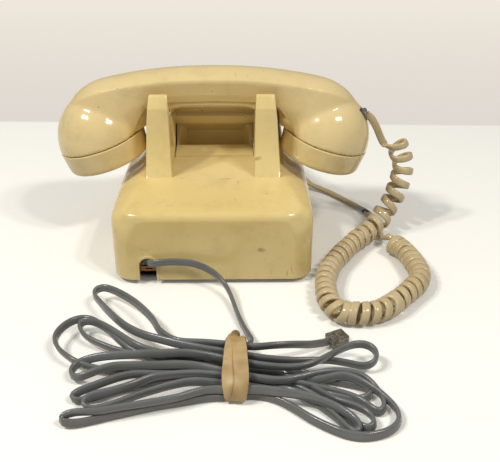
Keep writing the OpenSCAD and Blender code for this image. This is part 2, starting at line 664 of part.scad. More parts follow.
module transmitter_cup() {
    color(black) in_cap_frame(-1) rotate_extrude()
        polygon([[22.4, -7], [25.4, -7], [25.4, 5.5], [0, 5.5], [0, 3.5], [22.4, 3.5]]);
}
module handset_socket() {
    color(black) translate(socket_mid) socket_block([11, 11, 10], [8.4, 8.2]);
}
module handset_plug() {
    color(clear) translate(socket_mid + [-2.5, 0, 0.1]) plug_form([13.5, cord_plug_size[1], cord_plug_size[2]]);
}

// ---- cords: swept tubes along hand-chosen routes ----
plug_tail = [socket_mid[0] - 16, socket_mid[1], socket_mid[2]];
lead_route = [plug_tail, [-117, 30, 96.5], [-120.5, 30, 89.5], [-124, 30, 82], [-127, 30, 75], [-130.5, 30, 72.5]];
coil_route = [[-135, 30, 74], [-142, 29, 64], [-146, 25, 50], [-143, 21, 33], [-136, 24, 20], [-127, 32, 12],
              [-115, 47, 9], [-103, 65, 7.6], [-91, 88, 7.6], [-81, 115, 7.6], [-78, 140, 7.6], [-86, 157, 7.6],
              [-102, 162, 7.6], [-121, 150, 7.6], [-140, 129, 7.6], [-149, 106, 7.6], [-147, 81, 7.6], [-140, 62, 7.6]];
base_route = [[-138.2, 57.5, 5], [-136, 50, 2.3], [-132, 27, 2.2], [-124, 6, 2.2], [-112, -13, 2.2], [-99, -40, 2.2],
              [-90, -54, 2.6], [-83, -60, 6.5], [-73, -60, 11.9]];
line_route = [[45.7, 100.2, 16.8], [45.7, 105.5, 17.2], [43.5, 110, 18], [38, 112.6, 18.8], [29, 113, 18.8], [16, 113.5, 16], [1.5, 117, 10],
              [-10, 131, 4.4], [-17, 148, 3], [-21, 162, 3], [-24.5, 174, 4.5], [-28, 190, 7.5]];
wall_route = [[-27, 197, 14], [-38, 197, 15], [-51, 195, 13.4], [-61, 190, 9.5], [-68, 184.5, 6.2], [-73.8, 181.2, 4.9]];

// Points between the second and third of four, on a curve through them.
function through(a, b, c, d, t) =
    0.5 * ((2 * b) + (c - a) * t + (2 * a - 5 * b + 4 * c - d) * t * t + (3 * b - a - 3 * c + d) * t * t * t);
function smooth_route(r, steps) =
    let (n = len(r) - 1)
    concat([for (i = [0:n - 1]) for (k = [0:steps - 1])
            through(r[max(i - 1, 0)], r[i], r[i + 1], r[min(i + 2, n)], k / steps)], [r[n]]);
module tube(route, across, tall, sides) {
    n = len(route) - 1;
    skin([for (i = [0:n])
        let (t = unit(route[min(i + 1, n)] - route[max(i - 1, 0)]),
             out = unit(cross(t, [0, 0, 1])),
             lift = cross(out, t))
        [for (k = [0:sides - 1]) let (a = 360 * (k + 0.5) / sides)
            route[i] + out * across / 2 * cos(a) + lift * tall / 2 * sin(a)]]);
}
module handset_lead() { color(plastic) tube(smooth_route(lead_route, 2), strand_diameter, strand_diameter, 8); }
module handset_coil() { color(plastic) tube(smooth_route(coil_route, 2), coil_diameter, coil_diameter, 10); }
module base_lead() { color(plastic) tube(smooth_route(base_route, 2), strand_diameter, strand_diameter, 8); }
module line_lead() { color(grey) tube(smooth_route(line_route, 1), line_cord_thickness, line_cord_width, 8); }
module wall_lead() { color(grey) tube(smooth_route(wall_route, 1), line_cord_thickness, line_cord_width, 8); }

// The folded line cord: a bow-tie of strands standing on edge, held at its waist.
waist = [-17, 207];
waist_width = 36;
hank_height = 15;
module hank_half(tip_mid, tip_half) {
    hull() {
        translate(waist) square([1, waist_width], center = true);
        for (s = [-1, 1]) translate(tip_mid + [0, s * (tip_half - 9)]) circle(r = 9, $fn = 32);
    }
}
module loose_loop(a, b, r) {
    difference() {
        hull() { translate(a) circle(r = r, $fn = 32); translate(b) circle(r = r, $fn = 32); }
        hull() {
            translate(a) circle(r = r - line_cord_thickness, $fn = 32);
            translate(b) circle(r = r - line_cord_thickness, $fn = 32);
        }
    }
}
module line_hank() {
    color(grey) {
        linear_extrude(hank_height) {
            hank_half([69, 217], 33);
            hank_half([-96, 221], 33);
        }
        linear_extrude(line_cord_width) loose_loop([66, 133], [20, 190], 15);
        linear_extrude(line_cord_width) loose_loop([83, 183], [40, 200], 11);
    }
}
module rubber_band() {
    band_half = 7.5;
    color([0.76, 0.62, 0.42]) difference() {
        block([waist[0] - band_half, waist[0] + band_half],
              [waist[1] - waist_width / 2 - 5.5, waist[1] + waist_width / 2 + 5.5], [0, hank_height + 2]);
        block([waist[0] - band_half - 1, waist[0] + band_half + 1],
              [waist[1] - waist_width / 2 - 3.8, waist[1] + waist_width / 2 + 3.8], [-1, hank_height + 0.2]);
    }
}
module wall_plug() {
    color(clear) translate([-85.5, 175, 4.8]) rotate([0, 0, 27]) mirror([1, 0, 0]) plug_form(line_plug_size);
}

base_plate();
feet();
housing();
finger_pocket();
housing_screws();
line_jack();
handset_jack();
network_block();
network_terminals();
ringer_frame();
ringer_coil();
gong_left();
gong_right();
gong_screws();
clapper();
wheel_bracket();
volume_wheel();
hook_bracket();
hook_pin();
contact_stack();
hook_lever();
plunger_left();
plunger_right();
dial_chassis();
dial_board();
dial_legs();
dial_plate();
dial_screws();
number_card();
card_window();
handset_shell();
receiver_cap();
transmitter_cap();
receiver_unit();
transmitter_unit();
transmitter_cup();
handset_socket();
handset_plug();
handset_lead();
handset_coil();
base_lead();
base_plug();
line_plug();
line_lead();
line_hank();
rubber_band();
wall_lead();
wall_plug();
for (i = [0:11]) key_cap(i);
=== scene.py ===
import json
import math

import bmesh
import bpy
from mathutils import Matrix, Vector


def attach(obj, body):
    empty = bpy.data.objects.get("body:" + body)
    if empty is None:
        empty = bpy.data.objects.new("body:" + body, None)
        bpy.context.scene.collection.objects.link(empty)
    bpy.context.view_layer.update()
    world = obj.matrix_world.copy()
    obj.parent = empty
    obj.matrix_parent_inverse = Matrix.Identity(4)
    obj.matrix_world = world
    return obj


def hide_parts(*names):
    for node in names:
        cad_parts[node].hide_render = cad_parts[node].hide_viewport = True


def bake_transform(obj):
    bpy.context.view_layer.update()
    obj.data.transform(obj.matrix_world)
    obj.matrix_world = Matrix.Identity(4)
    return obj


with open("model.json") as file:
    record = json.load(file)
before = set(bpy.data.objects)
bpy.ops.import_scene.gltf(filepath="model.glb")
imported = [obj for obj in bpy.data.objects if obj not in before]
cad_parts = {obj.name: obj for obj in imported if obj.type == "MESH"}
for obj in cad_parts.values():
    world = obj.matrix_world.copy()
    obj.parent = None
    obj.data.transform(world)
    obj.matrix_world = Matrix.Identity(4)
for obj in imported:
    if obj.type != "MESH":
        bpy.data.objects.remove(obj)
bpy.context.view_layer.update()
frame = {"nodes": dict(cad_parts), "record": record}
scene = bpy.context.scene
mm = 0.001


# ---- shared tools
def vec(point):
    return Vector(point) * mm


def linear(red, green, blue):
    # a colour as it is picked on screen, 0 to 255
    return tuple(((c / 255 + 0.055) / 1.055) ** 2.4 for c in (red, green, blue)) + (1,)


def through(a, b, c, d, t):
    # a point between b and c, on a curve through all four
    return 0.5 * (2 * b + (c - a) * t + (2 * a - 5 * b + 4 * c - d) * t * t
                  + (3 * b - a - 3 * c + d) * t * t * t)


def smoothRoute(points, steps):
    route = []
    last = len(points) - 1
    for i in range(last):
        a, b, c, d = (points[max(i - 1, 0)], points[i], points[i + 1], points[min(i + 2, last)])
        route += [through(a, b, c, d, k / steps) for k in range(steps)]
    return route + [points[-1]]


def routeLength(route):
    return sum((b - a).length for a, b in zip(route, route[1:]))


def evenRoute(route, step):
    # the same line with its points an even step apart
    count = max(2, round(routeLength(route) / step))
    spacing = routeLength(route) / count
    even, i, left = [route[0]], 0, 0.0
    for k in range(1, count):
        want = k * spacing
        while left + (route[i + 1] - route[i]).length < want:
            left += (route[i + 1] - route[i]).length
            i += 1
        even.append(route[i].lerp(route[i + 1], (want - left) / (route[i + 1] - route[i]).length))
    return even + [route[-1]]


def addObject(name, mesh, material, body, nodes=(), sharp=35):
    mesh.materials.clear()
    mesh.materials.append(material)
    mesh.shade_smooth()
    mesh.set_sharp_from_angle(angle=math.radians(sharp))
    piece = bpy.data.objects.new(name, mesh)
    scene.collection.objects.link(piece)
    if body:
        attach(piece, body)
    if nodes:
        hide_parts(*nodes)
    return piece


def addPiece(name, form, material, body, nodes=(), sharp=35):
    mesh = bpy.data.meshes.new(name)
    form.to_mesh(mesh)
    form.free()
    return addObject(name, mesh, material, body, nodes, sharp)


def frameAt(place, ahead, up):
    side = ahead.cross(up).normalized()
    matrix = Matrix((side, side.cross(ahead).normalized(), ahead)).transposed().to_4x4()
    matrix.translation = place
    return matrix


def sweep(route, ups, profile):
    # the profile is drawn along the route, with its wide way turned to the up at each point
    last = len(route) - 1
    frames = [frameAt(place, (route[min(i + 1, last)] - route[max(i - 1, 0)]).normalized(), ups[i])
              for i, place in enumerate(route)]
    form = bmesh.new()
    edges = list(form.faces.new([form.verts.new(frames[0] @ Vector((x, y, 0))) for x, y in profile]).edges)
    for before, after in zip(frames, frames[1:]):
        made = bmesh.ops.extrude_edge_only(form, edges=edges)["geom"]
        verts = {v for v in made if isinstance(v, bmesh.types.BMVert)}
        edges = [e for e in made if isinstance(e, bmesh.types.BMEdge) and verts.issuperset(e.verts)]
        bmesh.ops.transform(form, matrix=after @ before.inverted(), verts=list(verts))
    bmesh.ops.contextual_create(form, geom=edges)
    bmesh.ops.recalc_face_normals(form, faces=form.faces)
    return form


def smoothUps(route, ups, passes):
    # evens out sudden changes between neighbouring ups; the route gives only their count
    last = len(route) - 1
    for _ in range(passes):
        ups = [(ups[max(i - 1, 0)] + ups[i] * 2 + ups[min(i + 1, last)]).normalized() for i in range(last + 1)]
    return ups


def asMesh(form, name="work"):
    mesh = bpy.data.meshes.new(name)
    form.to_mesh(mesh)
    form.free()
    return mesh


def finished(mesh, modifiers, tools=()):
    # the mesh after modifiers, each a kind and its settings; tools are meshes that a Boolean names by number
    work = bpy.data.objects.new("work", mesh)
    helpers = [bpy.data.objects.new("tool", tool) for tool in tools]
    for obj in (work, *helpers):
        scene.collection.objects.link(obj)
    for kind, settings in modifiers:
        modifier = work.modifiers.new(kind, kind)
        for key, value in settings.items():
            setattr(modifier, key, helpers[value] if key == "object" else value)
    bpy.context.view_layer.update()
    made = bpy.data.meshes.new_from_object(work.evaluated_get(bpy.context.evaluated_depsgraph_get()))
    for obj in (work, *helpers):
        bpy.data.objects.remove(obj)
    return made


def booleans(mesh, operation, tools):
    steps = [("BOOLEAN", {"operation": operation, "solver": "EXACT", "object": i}) for i in range(len(tools))]
    return finished(mesh, steps, tools)


def loft(rings):
    # closed rings of points, joined one to the next, with flat ends
    form = bmesh.new()
    before = None
    for ring in rings:
        verts = [form.verts.new(p) for p in ring]
        edges = [form.edges.new((verts[i - 1], verts[i])) for i in range(len(verts))]
        if before is None:
            bmesh.ops.contextual_create(form, geom=edges)
        else:
            bmesh.ops.bridge_loops(form, edges=before + edges)
        before = edges
    bmesh.ops.contextual_create(form, geom=before)
    bmesh.ops.recalc_face_normals(form, faces=form.faces)
    return form


def turned(profile, steps):
    # a solid of revolution about Z from (radius, height) points that start and end on the axis
    form = bmesh.new()
    verts = [form.verts.new((r, 0, z)) for r, z in profile]
    edges = [form.edges.new(pair) for pair in zip(verts, verts[1:])]
    bmesh.ops.spin(form, geom=verts + edges, axis=(0, 0, 1), cent=(0, 0, 0), steps=steps,
                   angle=2 * math.pi, use_merge=True)
    bmesh.ops.remove_doubles(form, verts=form.verts, dist=1e-4)
    bmesh.ops.recalc_face_normals(form, faces=form.faces)
    return form


def taperedBlock(low, high, edge=0.0, segments=3):
    # from a lower rectangle (x0, x1, y0, y1, z) to an upper one, with rounded edges
    form = bmesh.new()
    for v in bmesh.ops.create_cube(form, size=2)["verts"]:
        x0, x1, y0, y1, z = high if v.co.z > 0 else low
        v.co = (x1 if v.co.x > 0 else x0, y1 if v.co.y > 0 else y0, z)
    if edge:
        bmesh.ops.bevel(form, geom=form.edges, offset=edge, offset_type="OFFSET", affect="EDGES",
                        segments=segments, profile=0.5, material=-1, clamp_overlap=True)
    return form


def mirrored(form):
    # the same form on the other side of the middle plane
    other = form.copy()
    bmesh.ops.scale(other, vec=(-1, 1, 1), verts=other.verts)
    bmesh.ops.reverse_faces(other, faces=other.faces)
    return other


def joined(*forms):
    whole = bmesh.new()
    for form in forms:
        mesh = asMesh(form)
        whole.from_mesh(mesh)
        bpy.data.meshes.remove(mesh)
    return whole


def tableValue(table, x):
    # smooth between the rows of a table
    if x <= table[0][0]:
        return table[0][1]
    for i in range(len(table) - 1):
        if x <= table[i + 1][0]:
            (x0, y0), (x1, y1) = table[i], table[i + 1]
            slopes = []
            for k in (i, i + 1):
                if 0 < k < len(table) - 1:
                    slopes.append((table[k + 1][1] - table[k - 1][1]) / (table[k + 1][0] - table[k - 1][0]))
                else:
                    slopes.append((y1 - y0) / (x1 - x0))
            h = x1 - x0
            t = (x - x0) / h
            return ((2 * t ** 3 - 3 * t * t + 1) * y0 + (t ** 3 - 2 * t * t + t) * h * slopes[0]
                    + (3 * t * t - 2 * t ** 3) * y1 + (t ** 3 - t * t) * h * slopes[1])
    return table[-1][1]


def straightValue(table, x):
    if x <= table[0][0]:
        return table[0][1]
    for (x0, y0), (x1, y1) in zip(table, table[1:]):
        if x <= x1:
            return y0 + (y1 - y0) * (x - x0) / (x1 - x0)
    return table[-1][1]


def toMetres(mesh):
    mesh.transform(Matrix.Scale(mm, 4))
    return mesh


def roundProfile(diameter, sides):
    return [(diameter / 2 * math.cos(2 * math.pi * k / sides), diameter / 2 * math.sin(2 * math.pi * k / sides))
            for k in range(sides)]


def flatProfile(thick, wide, steps):
    # a rounded strip, its wide way along the second axis
    r = thick / 2
    top = [(r * math.cos(math.pi * k / steps), wide / 2 - r + r * math.sin(math.pi * k / steps))
           for k in range(steps + 1)]
    return top + [(-x, -y) for x, y in top]


# ---- materials
def newGroup(name, inputs, outputs):
    tree = bpy.data.node_groups.new(name, "ShaderNodeTree")
    for label, kind, value in inputs:
        tree.interface.new_socket(name=label, in_out="INPUT", socket_type="NodeSocket" + kind).default_value = value
    for label, kind in outputs:
        tree.interface.new_socket(name=label, in_out="OUTPUT", socket_type="NodeSocket" + kind)
    return tree, tree.nodes.new("NodeGroupInput").outputs, tree.nodes.new("NodeGroupOutput").inputs


def addNode(tree, kind, values=(), **settings):
    node = tree.nodes.new("ShaderNode" + kind)
    for key, value in settings.items():
        setattr(node, key, value)
    for key, value in dict(values).items():
        if isinstance(value, bpy.types.NodeSocket):
            tree.links.new(value, node.inputs[key])
        else:
            node.inputs[key].default_value = value
    return node


def noise(tree, place, scale, detail=3.0, rough=0.5, bend=0.0):
    values = {"Vector": place, "Scale": scale, "Detail": detail, "Roughness": rough, "Distortion": bend}
    return addNode(tree, "TexNoise", values).outputs[0]


def ranged(tree, value, low, high, toLow=0.0, toHigh=1.0):
    return addNode(tree, "MapRange", {0: value, 1: low, 2: high, 3: toLow, 4: toHigh}).outputs[0]


def calc(tree, operation, a, b):
    return addNode(tree, "Math", {0: a, 1: b}, operation=operation).outputs[0]


def mixed(tree, factor, a, b, blend="MIX"):
    return addNode(tree, "Mix", {0: factor, 6: a, 7: b}, data_type="RGBA", blend_type=blend).outputs[2]


def objectPlace(tree, stretch=(1, 1, 1), turn=(0, 0, 0)):
    place = addNode(tree, "TexCoord").outputs["Object"]
    return addNode(tree, "Mapping", {"Vector": place, "Scale": stretch, "Rotation": turn}).outputs[0]


def agedPlasticGroup():
    # uneven yellowing, faint grime, dark specks and rubbed marks on an old moulding
    tree, given, out = newGroup(
        "agedPlastic",
        [("Colour", "Color", (0.8, 0.6, 0.3, 1)), ("Aged", "Color", (0.7, 0.5, 0.2, 1)),
         ("Mark", "Color", (0.1, 0.07, 0.04, 1)), ("Roughness", "Float", 0.35), ("Blotches", "Float", 9.0),
         ("Specks", "Float", 0.4), ("Scuffs", "Float", 0.5)],
        [("Colour", "Color"), ("Roughness", "Float"), ("Height", "Float")])
    place = objectPlace(tree)
    broad = ranged(tree, noise(tree, place, given["Blotches"], 2.5), 0.36, 0.66)
    middle = noise(tree, place, 70.0, 4.0, 0.6)
    colour = mixed(tree, broad, given["Colour"], given["Aged"])
    colour = mixed(tree, ranged(tree, middle, 0.5, 0.85, 0.0, 0.16), colour, given["Mark"])
    cells = addNode(tree, "TexVoronoi", {"Vector": place, "Scale": 210.0})
    chance = addNode(tree, "SeparateColor", {0: cells.outputs["Color"]}).outputs[0]
    start = calc(tree, "SUBTRACT", 1.0, calc(tree, "MULTIPLY", given["Specks"], 0.12))
    size = ranged(tree, chance, start, 1.0, 0.0, 0.14)
    specks = calc(tree, "LESS_THAN", cells.outputs["Distance"], size)
    fine = noise(tree, objectPlace(tree, (60, 420, 90), (0.5, 0.3, 0.9)), 1.0, 2.0, 0.5, 0.6)
    across = noise(tree, objectPlace(tree, (500, 60, 120), (0.2, 0.9, 0.4)), 1.0, 2.0, 0.5, 0.6)
    patches = ranged(tree, noise(tree, place, 24.0, 3.0, 0.7), 0.54, 0.64)
    scratches = ranged(tree, calc(tree, "MAXIMUM", fine, across), 0.68, 0.73)
    scuffs = calc(tree, "MULTIPLY", calc(tree, "MULTIPLY", scratches, patches), given["Scuffs"])
    colour = mixed(tree, calc(tree, "MULTIPLY", scuffs, 0.5), colour, given["Mark"])
    colour = mixed(tree, calc(tree, "MULTIPLY", specks, 0.75), colour, given["Mark"])
    rough = calc(tree, "ADD", given["Roughness"], ranged(tree, middle, 0.3, 0.7, -0.05, 0.07))
    rough = calc(tree, "ADD", rough, calc(tree, "MULTIPLY", scuffs, 0.2))
    height = calc(tree, "ADD", ranged(tree, noise(tree, place, 34.0, 1.0), 0.0, 1.0, 0.0, 1.6),
                  calc(tree, "MULTIPLY", noise(tree, place, 620.0, 2.0), 0.05))
    height = calc(tree, "SUBTRACT", height, calc(tree, "MULTIPLY", scuffs, 0.12))
    for label, socket in (("Colour", colour), ("Roughness", rough), ("Height", height)):
        tree.links.new(socket, out[label])
    return tree


def wornMetalGroup():
    # drawn or rolled metal: fine grain one way, dull patches and a little tarnish
    tree, given, out = newGroup(
        "wornMetal",
        [("Colour", "Color", (0.6, 0.6, 0.6, 1)), ("Tarnish", "Color", (0.2, 0.18, 0.15, 1)),
         ("Roughness", "Float", 0.35), ("Grain", "Float", 900.0)],
        [("Colour", "Color"), ("Roughness", "Float"), ("Height", "Float")])
    place = objectPlace(tree)
    stretched = objectPlace(tree, (0.06, 1, 1))
    grain = noise(tree, stretched, given["Grain"], 2.0)
    patch = noise(tree, place, 55.0, 4.0, 0.6)
    colour = mixed(tree, ranged(tree, patch, 0.45, 0.8, 0.0, 0.7), given["Colour"], given["Tarnish"])
    rough = calc(tree, "ADD", given["Roughness"], ranged(tree, calc(tree, "ADD", grain, patch), 0.7, 1.3, -0.08, 0.15))
    for label, socket in (("Colour", colour), ("Roughness", rough), ("Height", grain)):
        tree.links.new(socket, out[label])
    return tree


agedPlastic = agedPlasticGroup()
wornMetal = wornMetalGroup()


def makeMaterial(name, group, values, bump=0.2, depth=0.0004, sockets=()):
    material = bpy.data.materials.new(name)
    material.use_nodes = True
    tree = material.node_tree
    shader = tree.nodes["Principled BSDF"]
    surface = addNode(tree, "Group", node_tree=group)
    for key, value in values.items():
        surface.inputs[key].default_value = value
    dents = addNode(tree, "Bump", {"Height": surface.outputs["Height"], "Strength": bump, "Distance": depth})
    tree.links.new(surface.outputs["Colour"], shader.inputs["Base Color"])
    tree.links.new(surface.outputs["Roughness"], shader.inputs["Roughness"])
    tree.links.new(dents.outputs[0], shader.inputs["Normal"])
    for key, value in dict(sockets).items():
        shader.inputs[key].default_value = value
    return material


def plasticMaterial(name, colour, aged, roughness, mark=(70, 56, 40), specks=0.4, scuffs=0.5, blotches=9.0, bump=0.2,
                    **sockets):
    values = {"Colour": linear(*colour), "Aged": linear(*aged), "Mark": linear(*mark), "Roughness": roughness,
              "Blotches": blotches, "Specks": specks, "Scuffs": scuffs}
    return makeMaterial(name, agedPlastic, values, bump, 0.0004, {k.replace("_", " "): v for k, v in sockets.items()})


def metalMaterial(name, colour, tarnish, roughness, grain=900.0):
    values = {"Colour": linear(*colour), "Tarnish": linear(*tarnish), "Roughness": roughness, "Grain": grain}
    return makeMaterial(name, wornMetal, values, 0.15, 0.0001, {"Metallic": 1.0})


plastic = plasticMaterial("housingPlastic", (232, 209, 146), (226, 201, 134), 0.15, scuffs=0.9, specks=0.7)
handsetPlastic = plasticMaterial("handsetPlastic", (229, 206, 150), (221, 196, 138), 0.12, specks=0.6, scuffs=0.8, bump=0.1)
keyPlastic = plasticMaterial("keyPlastic", (232, 216, 172), (224, 206, 160), 0.32, specks=0.1, scuffs=0.2)
platePlastic = plasticMaterial("platePlastic", (224, 200, 142), (216, 191, 130), 0.4)
coilPlastic = plasticMaterial("coilPlastic", (208, 188, 148), (198, 177, 134), 0.16, (96, 84, 66), 0.9, 0.3, 30.0, 0.08)
lineJacket = plasticMaterial("lineJacket", (112, 113, 112), (100, 101, 97), 0.2, (44, 44, 44), 0.8, 0.8, 40.0)
jackPlastic = plasticMaterial("jackPlastic", (176, 124, 66), (160, 108, 54), 0.4, (60, 40, 24), 0.2, 0.3)
blackPlastic = plasticMaterial("blackPlastic", (38, 38, 40), (30, 30, 31), 0.42, (70, 68, 64), 0.3, 0.5)
footRubber = plasticMaterial("footRubber", (34, 33, 33), (26, 26, 26), 0.75, (80, 76, 70), 0.6, 0.8, 60.0)
bandRubber = plasticMaterial("bandRubber", (196, 168, 120), (176, 145, 96), 0.48, (120, 92, 58), 0.3, 0.9, 110.0, 0.6)
bakelite = plasticMaterial("bakelite", (62, 42, 28), (48, 32, 22), 0.35, (20, 14, 10), 0.3, 0.3)
circuitBoard = plasticMaterial("circuitBoard", (58, 92, 62), (48, 80, 54), 0.5, (30, 40, 30), 0.5, 0.2)
unitGrey = plasticMaterial("unitGrey", (126, 128, 128), (112, 113, 112), 0.45, (60, 60, 58), 0.4, 0.3)
cardPaper = plasticMaterial("cardPaper", (236, 233, 222), (228, 222, 204), 0.8, (150, 138, 112), 0.5, 0.2, 40.0)
# the base plate's near-black colour is painted shade: it stands for the dark inside of the housing seen through the
# rear notch
shadedPan = plasticMaterial("shadedPanMaterial", (44, 43, 42), (34, 33, 32), 0.5, (110, 104, 96), 0.3, 0.6)
steel = metalMaterial("steel", (176, 178, 180), (110, 106, 98), 0.34)
brass = metalMaterial("brass", (206, 170, 98), (128, 100, 56), 0.3)
coilCopper = metalMaterial("coilCopper", (150, 78, 44), (96, 48, 30), 0.42, 2600.0)
clearPlastic = plasticMaterial("clearPlastic", (162, 157, 142), (148, 141, 122), 0.1, (110, 100, 80), 0.2, 0.4, 60.0,
                               0.04, Transmission_Weight=0.8, IOR=1.49)
windowPlastic = plasticMaterial("windowPlastic", (236, 232, 216), (226, 219, 196), 0.12, (150, 140, 112), 0.3, 0.6,
                                60.0, 0.05, Alpha=0.22)
slotMaterials = {
    "ivory_plastic": plastic, "plate_plastic": platePlastic, "key_plastic": keyPlastic, "cord_ivory": coilPlastic,
    "cord_grey": lineJacket, "tan_rubber": bandRubber, "tan_plastic": jackPlastic, "clear_plastic": clearPlastic,
    "black_plastic": blackPlastic, "black_rubber": footRubber, "steel": steel, "brass": brass,
    "contact_brass": brass, "coil_copper": coilCopper, "bakelite": bakelite, "board": circuitBoard,
    "unit_grey": unitGrey, "card": cardPaper,
}
nodeMaterials = {"base_plate": shadedPan, "card_window": windowPlastic}
for part in frame["record"]["subparts"]:
    mesh = frame["nodes"][part["node"]].data
    mesh.materials.clear()
    mesh.materials.append(nodeMaterials.get(part["node"], slotMaterials[part["material_slot"]]))
print("materials made,", len(bpy.data.materials))

# ---- camera and lamps
view = {"place": (-21.2, 570.4, 292.1), "turn": -0.64, "down": 28.18, "roll": 0.05, "lens": 55.4}
camera = bpy.data.objects.new("viewCamera", bpy.data.cameras.new("viewCamera"))
camera.data.lens = view["lens"]
camera.data.sensor_width = 36
camera.location = vec(view["place"])
camera.rotation_euler = (math.radians(90 - view["down"]), math.radians(view["roll"]),
                         math.radians(180 + view["turn"]))
scene.collection.objects.link(camera)
scene.camera = camera

# two small soft lamps high on each side, on the viewer's side, over an even room light
lamps = {"size": 0.12, "aim": (0, 0.05, 0), "room": 0.3, "colour": (1.0, 0.985, 0.955), "places": [
    ("leftLamp", (0.74, 0.68, 1.36), 7.0), ("farLeftLamp", (0.9, 0.5, 1.25), 6.6),
    ("rightLamp", (-0.64, 0.86, 1.34), 4.9), ("farRightLamp", (-0.8, 0.72, 1.24), 4.5)]}
for name, place, power in lamps["places"]:
    light = bpy.data.lights.new(name, "AREA")
    light.energy, light.size, light.color = power, lamps["size"], lamps["colour"]
    lamp = bpy.data.objects.new(name, light)
    lamp.location = place
    lamp.rotation_euler = (Vector(lamps["aim"]) - Vector(place)).to_track_quat("-Z", "Y").to_euler()
    scene.collection.objects.link(lamp)
world = bpy.data.worlds.new("studio")
scene.world = world
world.use_nodes = True
world.node_tree.nodes["Background"].inputs["Color"].default_value = (1.0, 0.99, 0.97, 1)
world.node_tree.nodes["Background"].inputs["Strength"].default_value = lamps["room"]
scene.view_settings.view_transform = "Standard"

# ---- curly handset cord: a flat strand wound on its side
curlyCord = {
    "wide": 5.6, "thick": 2.7, "coil": 15.4, "turnPoints": 18, "viewer": Vector((0, 0.8, 0.6)),
    "pitch": [(0, 11), (70, 10.5), (105, 7.6), (190, 7), (232, 6.2), (255, 7.6), (300, 6.4), (340, 5.9), (600, 5.9)],
    "swell": [(0, 1.14), (80, 1.1), (115, 1.0), (600, 1.0)],
    # how far each turn leans to or from the viewer's side, by distance along the coil
    "lean": [(0, 0), (195, 0), (206, 4.5), (216, -1), (232, 1.5), (244, 5), (250, -3), (262, 0), (316, 0),
             (324, 4), (332, -2), (346, 2), (356, 5), (364, -3), (375, 0)],
    "leadRoute": [(-113, 30, 100), (-117, 30, 96.5), (-121.5, 28.5, 89), (-125, 26.5, 81.5), (-128.5, 25, 74)],
    "coilRoute": [(-137, 23.5, 76), (-141.5, 22.5, 68), (-145, 22, 59), (-145.6, 22, 50), (-143.4, 23, 40),
                  (-140, 25.5, 30), (-134.5, 29, 21.5), (-128, 35, 14), (-118, 46, 9.6), (-107.8, 57, 8.6),
                  (-98.7, 70.4, 8.6), (-91.7, 82, 8.6), (-85.4, 93.5, 8.6), (-81, 106, 8.6), (-78.3, 118.5, 8.6),
                  (-77.8, 131, 8.6), (-79, 143, 8.6), (-84, 152.5, 8.6), (-94, 155.5, 8.6), (-105, 154.5, 8.6),
                  (-114, 150, 8.6), (-124, 141, 8.6), (-133.5, 130, 8.6), (-142, 119, 8.6), (-146.3, 107, 8.6),
                  (-145.3, 92, 8.6), (-142.5, 78, 8.6), (-138, 67, 8.6), (-132, 61, 8.6)],
    "collar": (-11.5, -5, -1),
    "baseRoute": [(-129, 50, 2.2), (-130, 27, 2.2), (-125.8, 0, 2.2), (-117.1, -14.6, 2.2), (-107.8, -28.3, 2.2),
                  (-98.1, -41.1, 2.3), (-88.9, -49, 3.4), (-81.8, -52.5, 5.4), (-77, -57, 8.4), (-73, -60, 11.9)],
}


def curlyRoute():
    # the strand's line and, at each point, the way that its wide side runs
    c = curlyCord
    axis = evenRoute(smoothRoute([Vector(p) for p in c["coilRoute"]], 12), 0.5)
    last = len(axis) - 1
    total = routeLength(axis)
    ahead = [(axis[min(i + 1, last)] - axis[max(i - 1, 0)]).normalized() for i in range(last + 1)]
    outs = [Vector((1, 0, 0))]
    for t in ahead:
        outs.append((outs[-1] - t * outs[-1].dot(t)).normalized())
    radius = (c["coil"] - c["thick"]) / 2
    coil, coilUps = [], []
    s, angle = 0.0, 0.0
    while s < total:
        i = min(int(s / total * last), last - 1)
        place = axis[i].lerp(axis[i + 1], s / total * last - i)
        out = outs[i + 1] * math.cos(angle) - ahead[i].cross(outs[i + 1]) * math.sin(angle)
        lean = ahead[i] * straightValue(c["lean"], s) * out.dot(c["viewer"])
        coil.append(place + out * radius * straightValue(c["swell"], s) * (1 + 0.03 * math.sin(s * 0.21)) + lean)
        coilUps.append(ahead[i])
        angle += 2 * math.pi / c["turnPoints"]
        s += straightValue(c["pitch"], s) / c["turnPoints"]
    lead = smoothRoute([Vector(p) for p in c["leadRoute"]], 6)
    base = smoothRoute([Vector(p) for p in c["baseRoute"]], 6)
    route = lead + coil + base
    ups = ([Vector((-0.95, 0, 0.3))] * len(lead) + coilUps
           + [(q - p).cross(Vector((0, 0, -1))).normalized() for p, q in zip(base, base[1:])])
    ups.append(ups[-1])
    # the strand runs smoothly from each straight lead into the first turn
    for joint in (len(lead), len(lead) + len(coil)):
        for _ in range(10):
            near = range(max(1, joint - 6), min(len(route) - 1, joint + 7))
            moved = {i: (route[i - 1] + route[i] * 2 + route[i + 1]) / 4 for i in near}
            turnedUps = {i: (ups[i - 1] + ups[i] * 2 + ups[i + 1]).normalized() for i in near}
            for i in near:
                route[i], ups[i] = moved[i], turnedUps[i]
    return [p * mm for p in route], ups


cordRoute, cordUps = curlyRoute()
cordMesh = asMesh(sweep(cordRoute, cordUps, flatProfile(curlyCord["thick"] * mm, curlyCord["wide"] * mm, 5)))
handsetCord = addObject("handsetCord", cordMesh, coilPlastic, None, sharp=80)
# a collar on the base lead, grey and then black
for number, material in enumerate((steel, blackPlastic), 1):
    handsetCord.data.materials.append(material)
    near, far = curlyCord["collar"][number - 1:number + 1]
    for face in handsetCord.data.polygons:
        x, y, z = face.center / mm
        if near < y < far and x > -128 and z < 6:
            face.material_index = number
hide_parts("handset_lead", "handset_coil", "base_lead")
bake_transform(handsetCord)
print("curly cord made,", round(routeLength(cordRoute), 2), "m,", len(cordMesh.polygons), "faces")

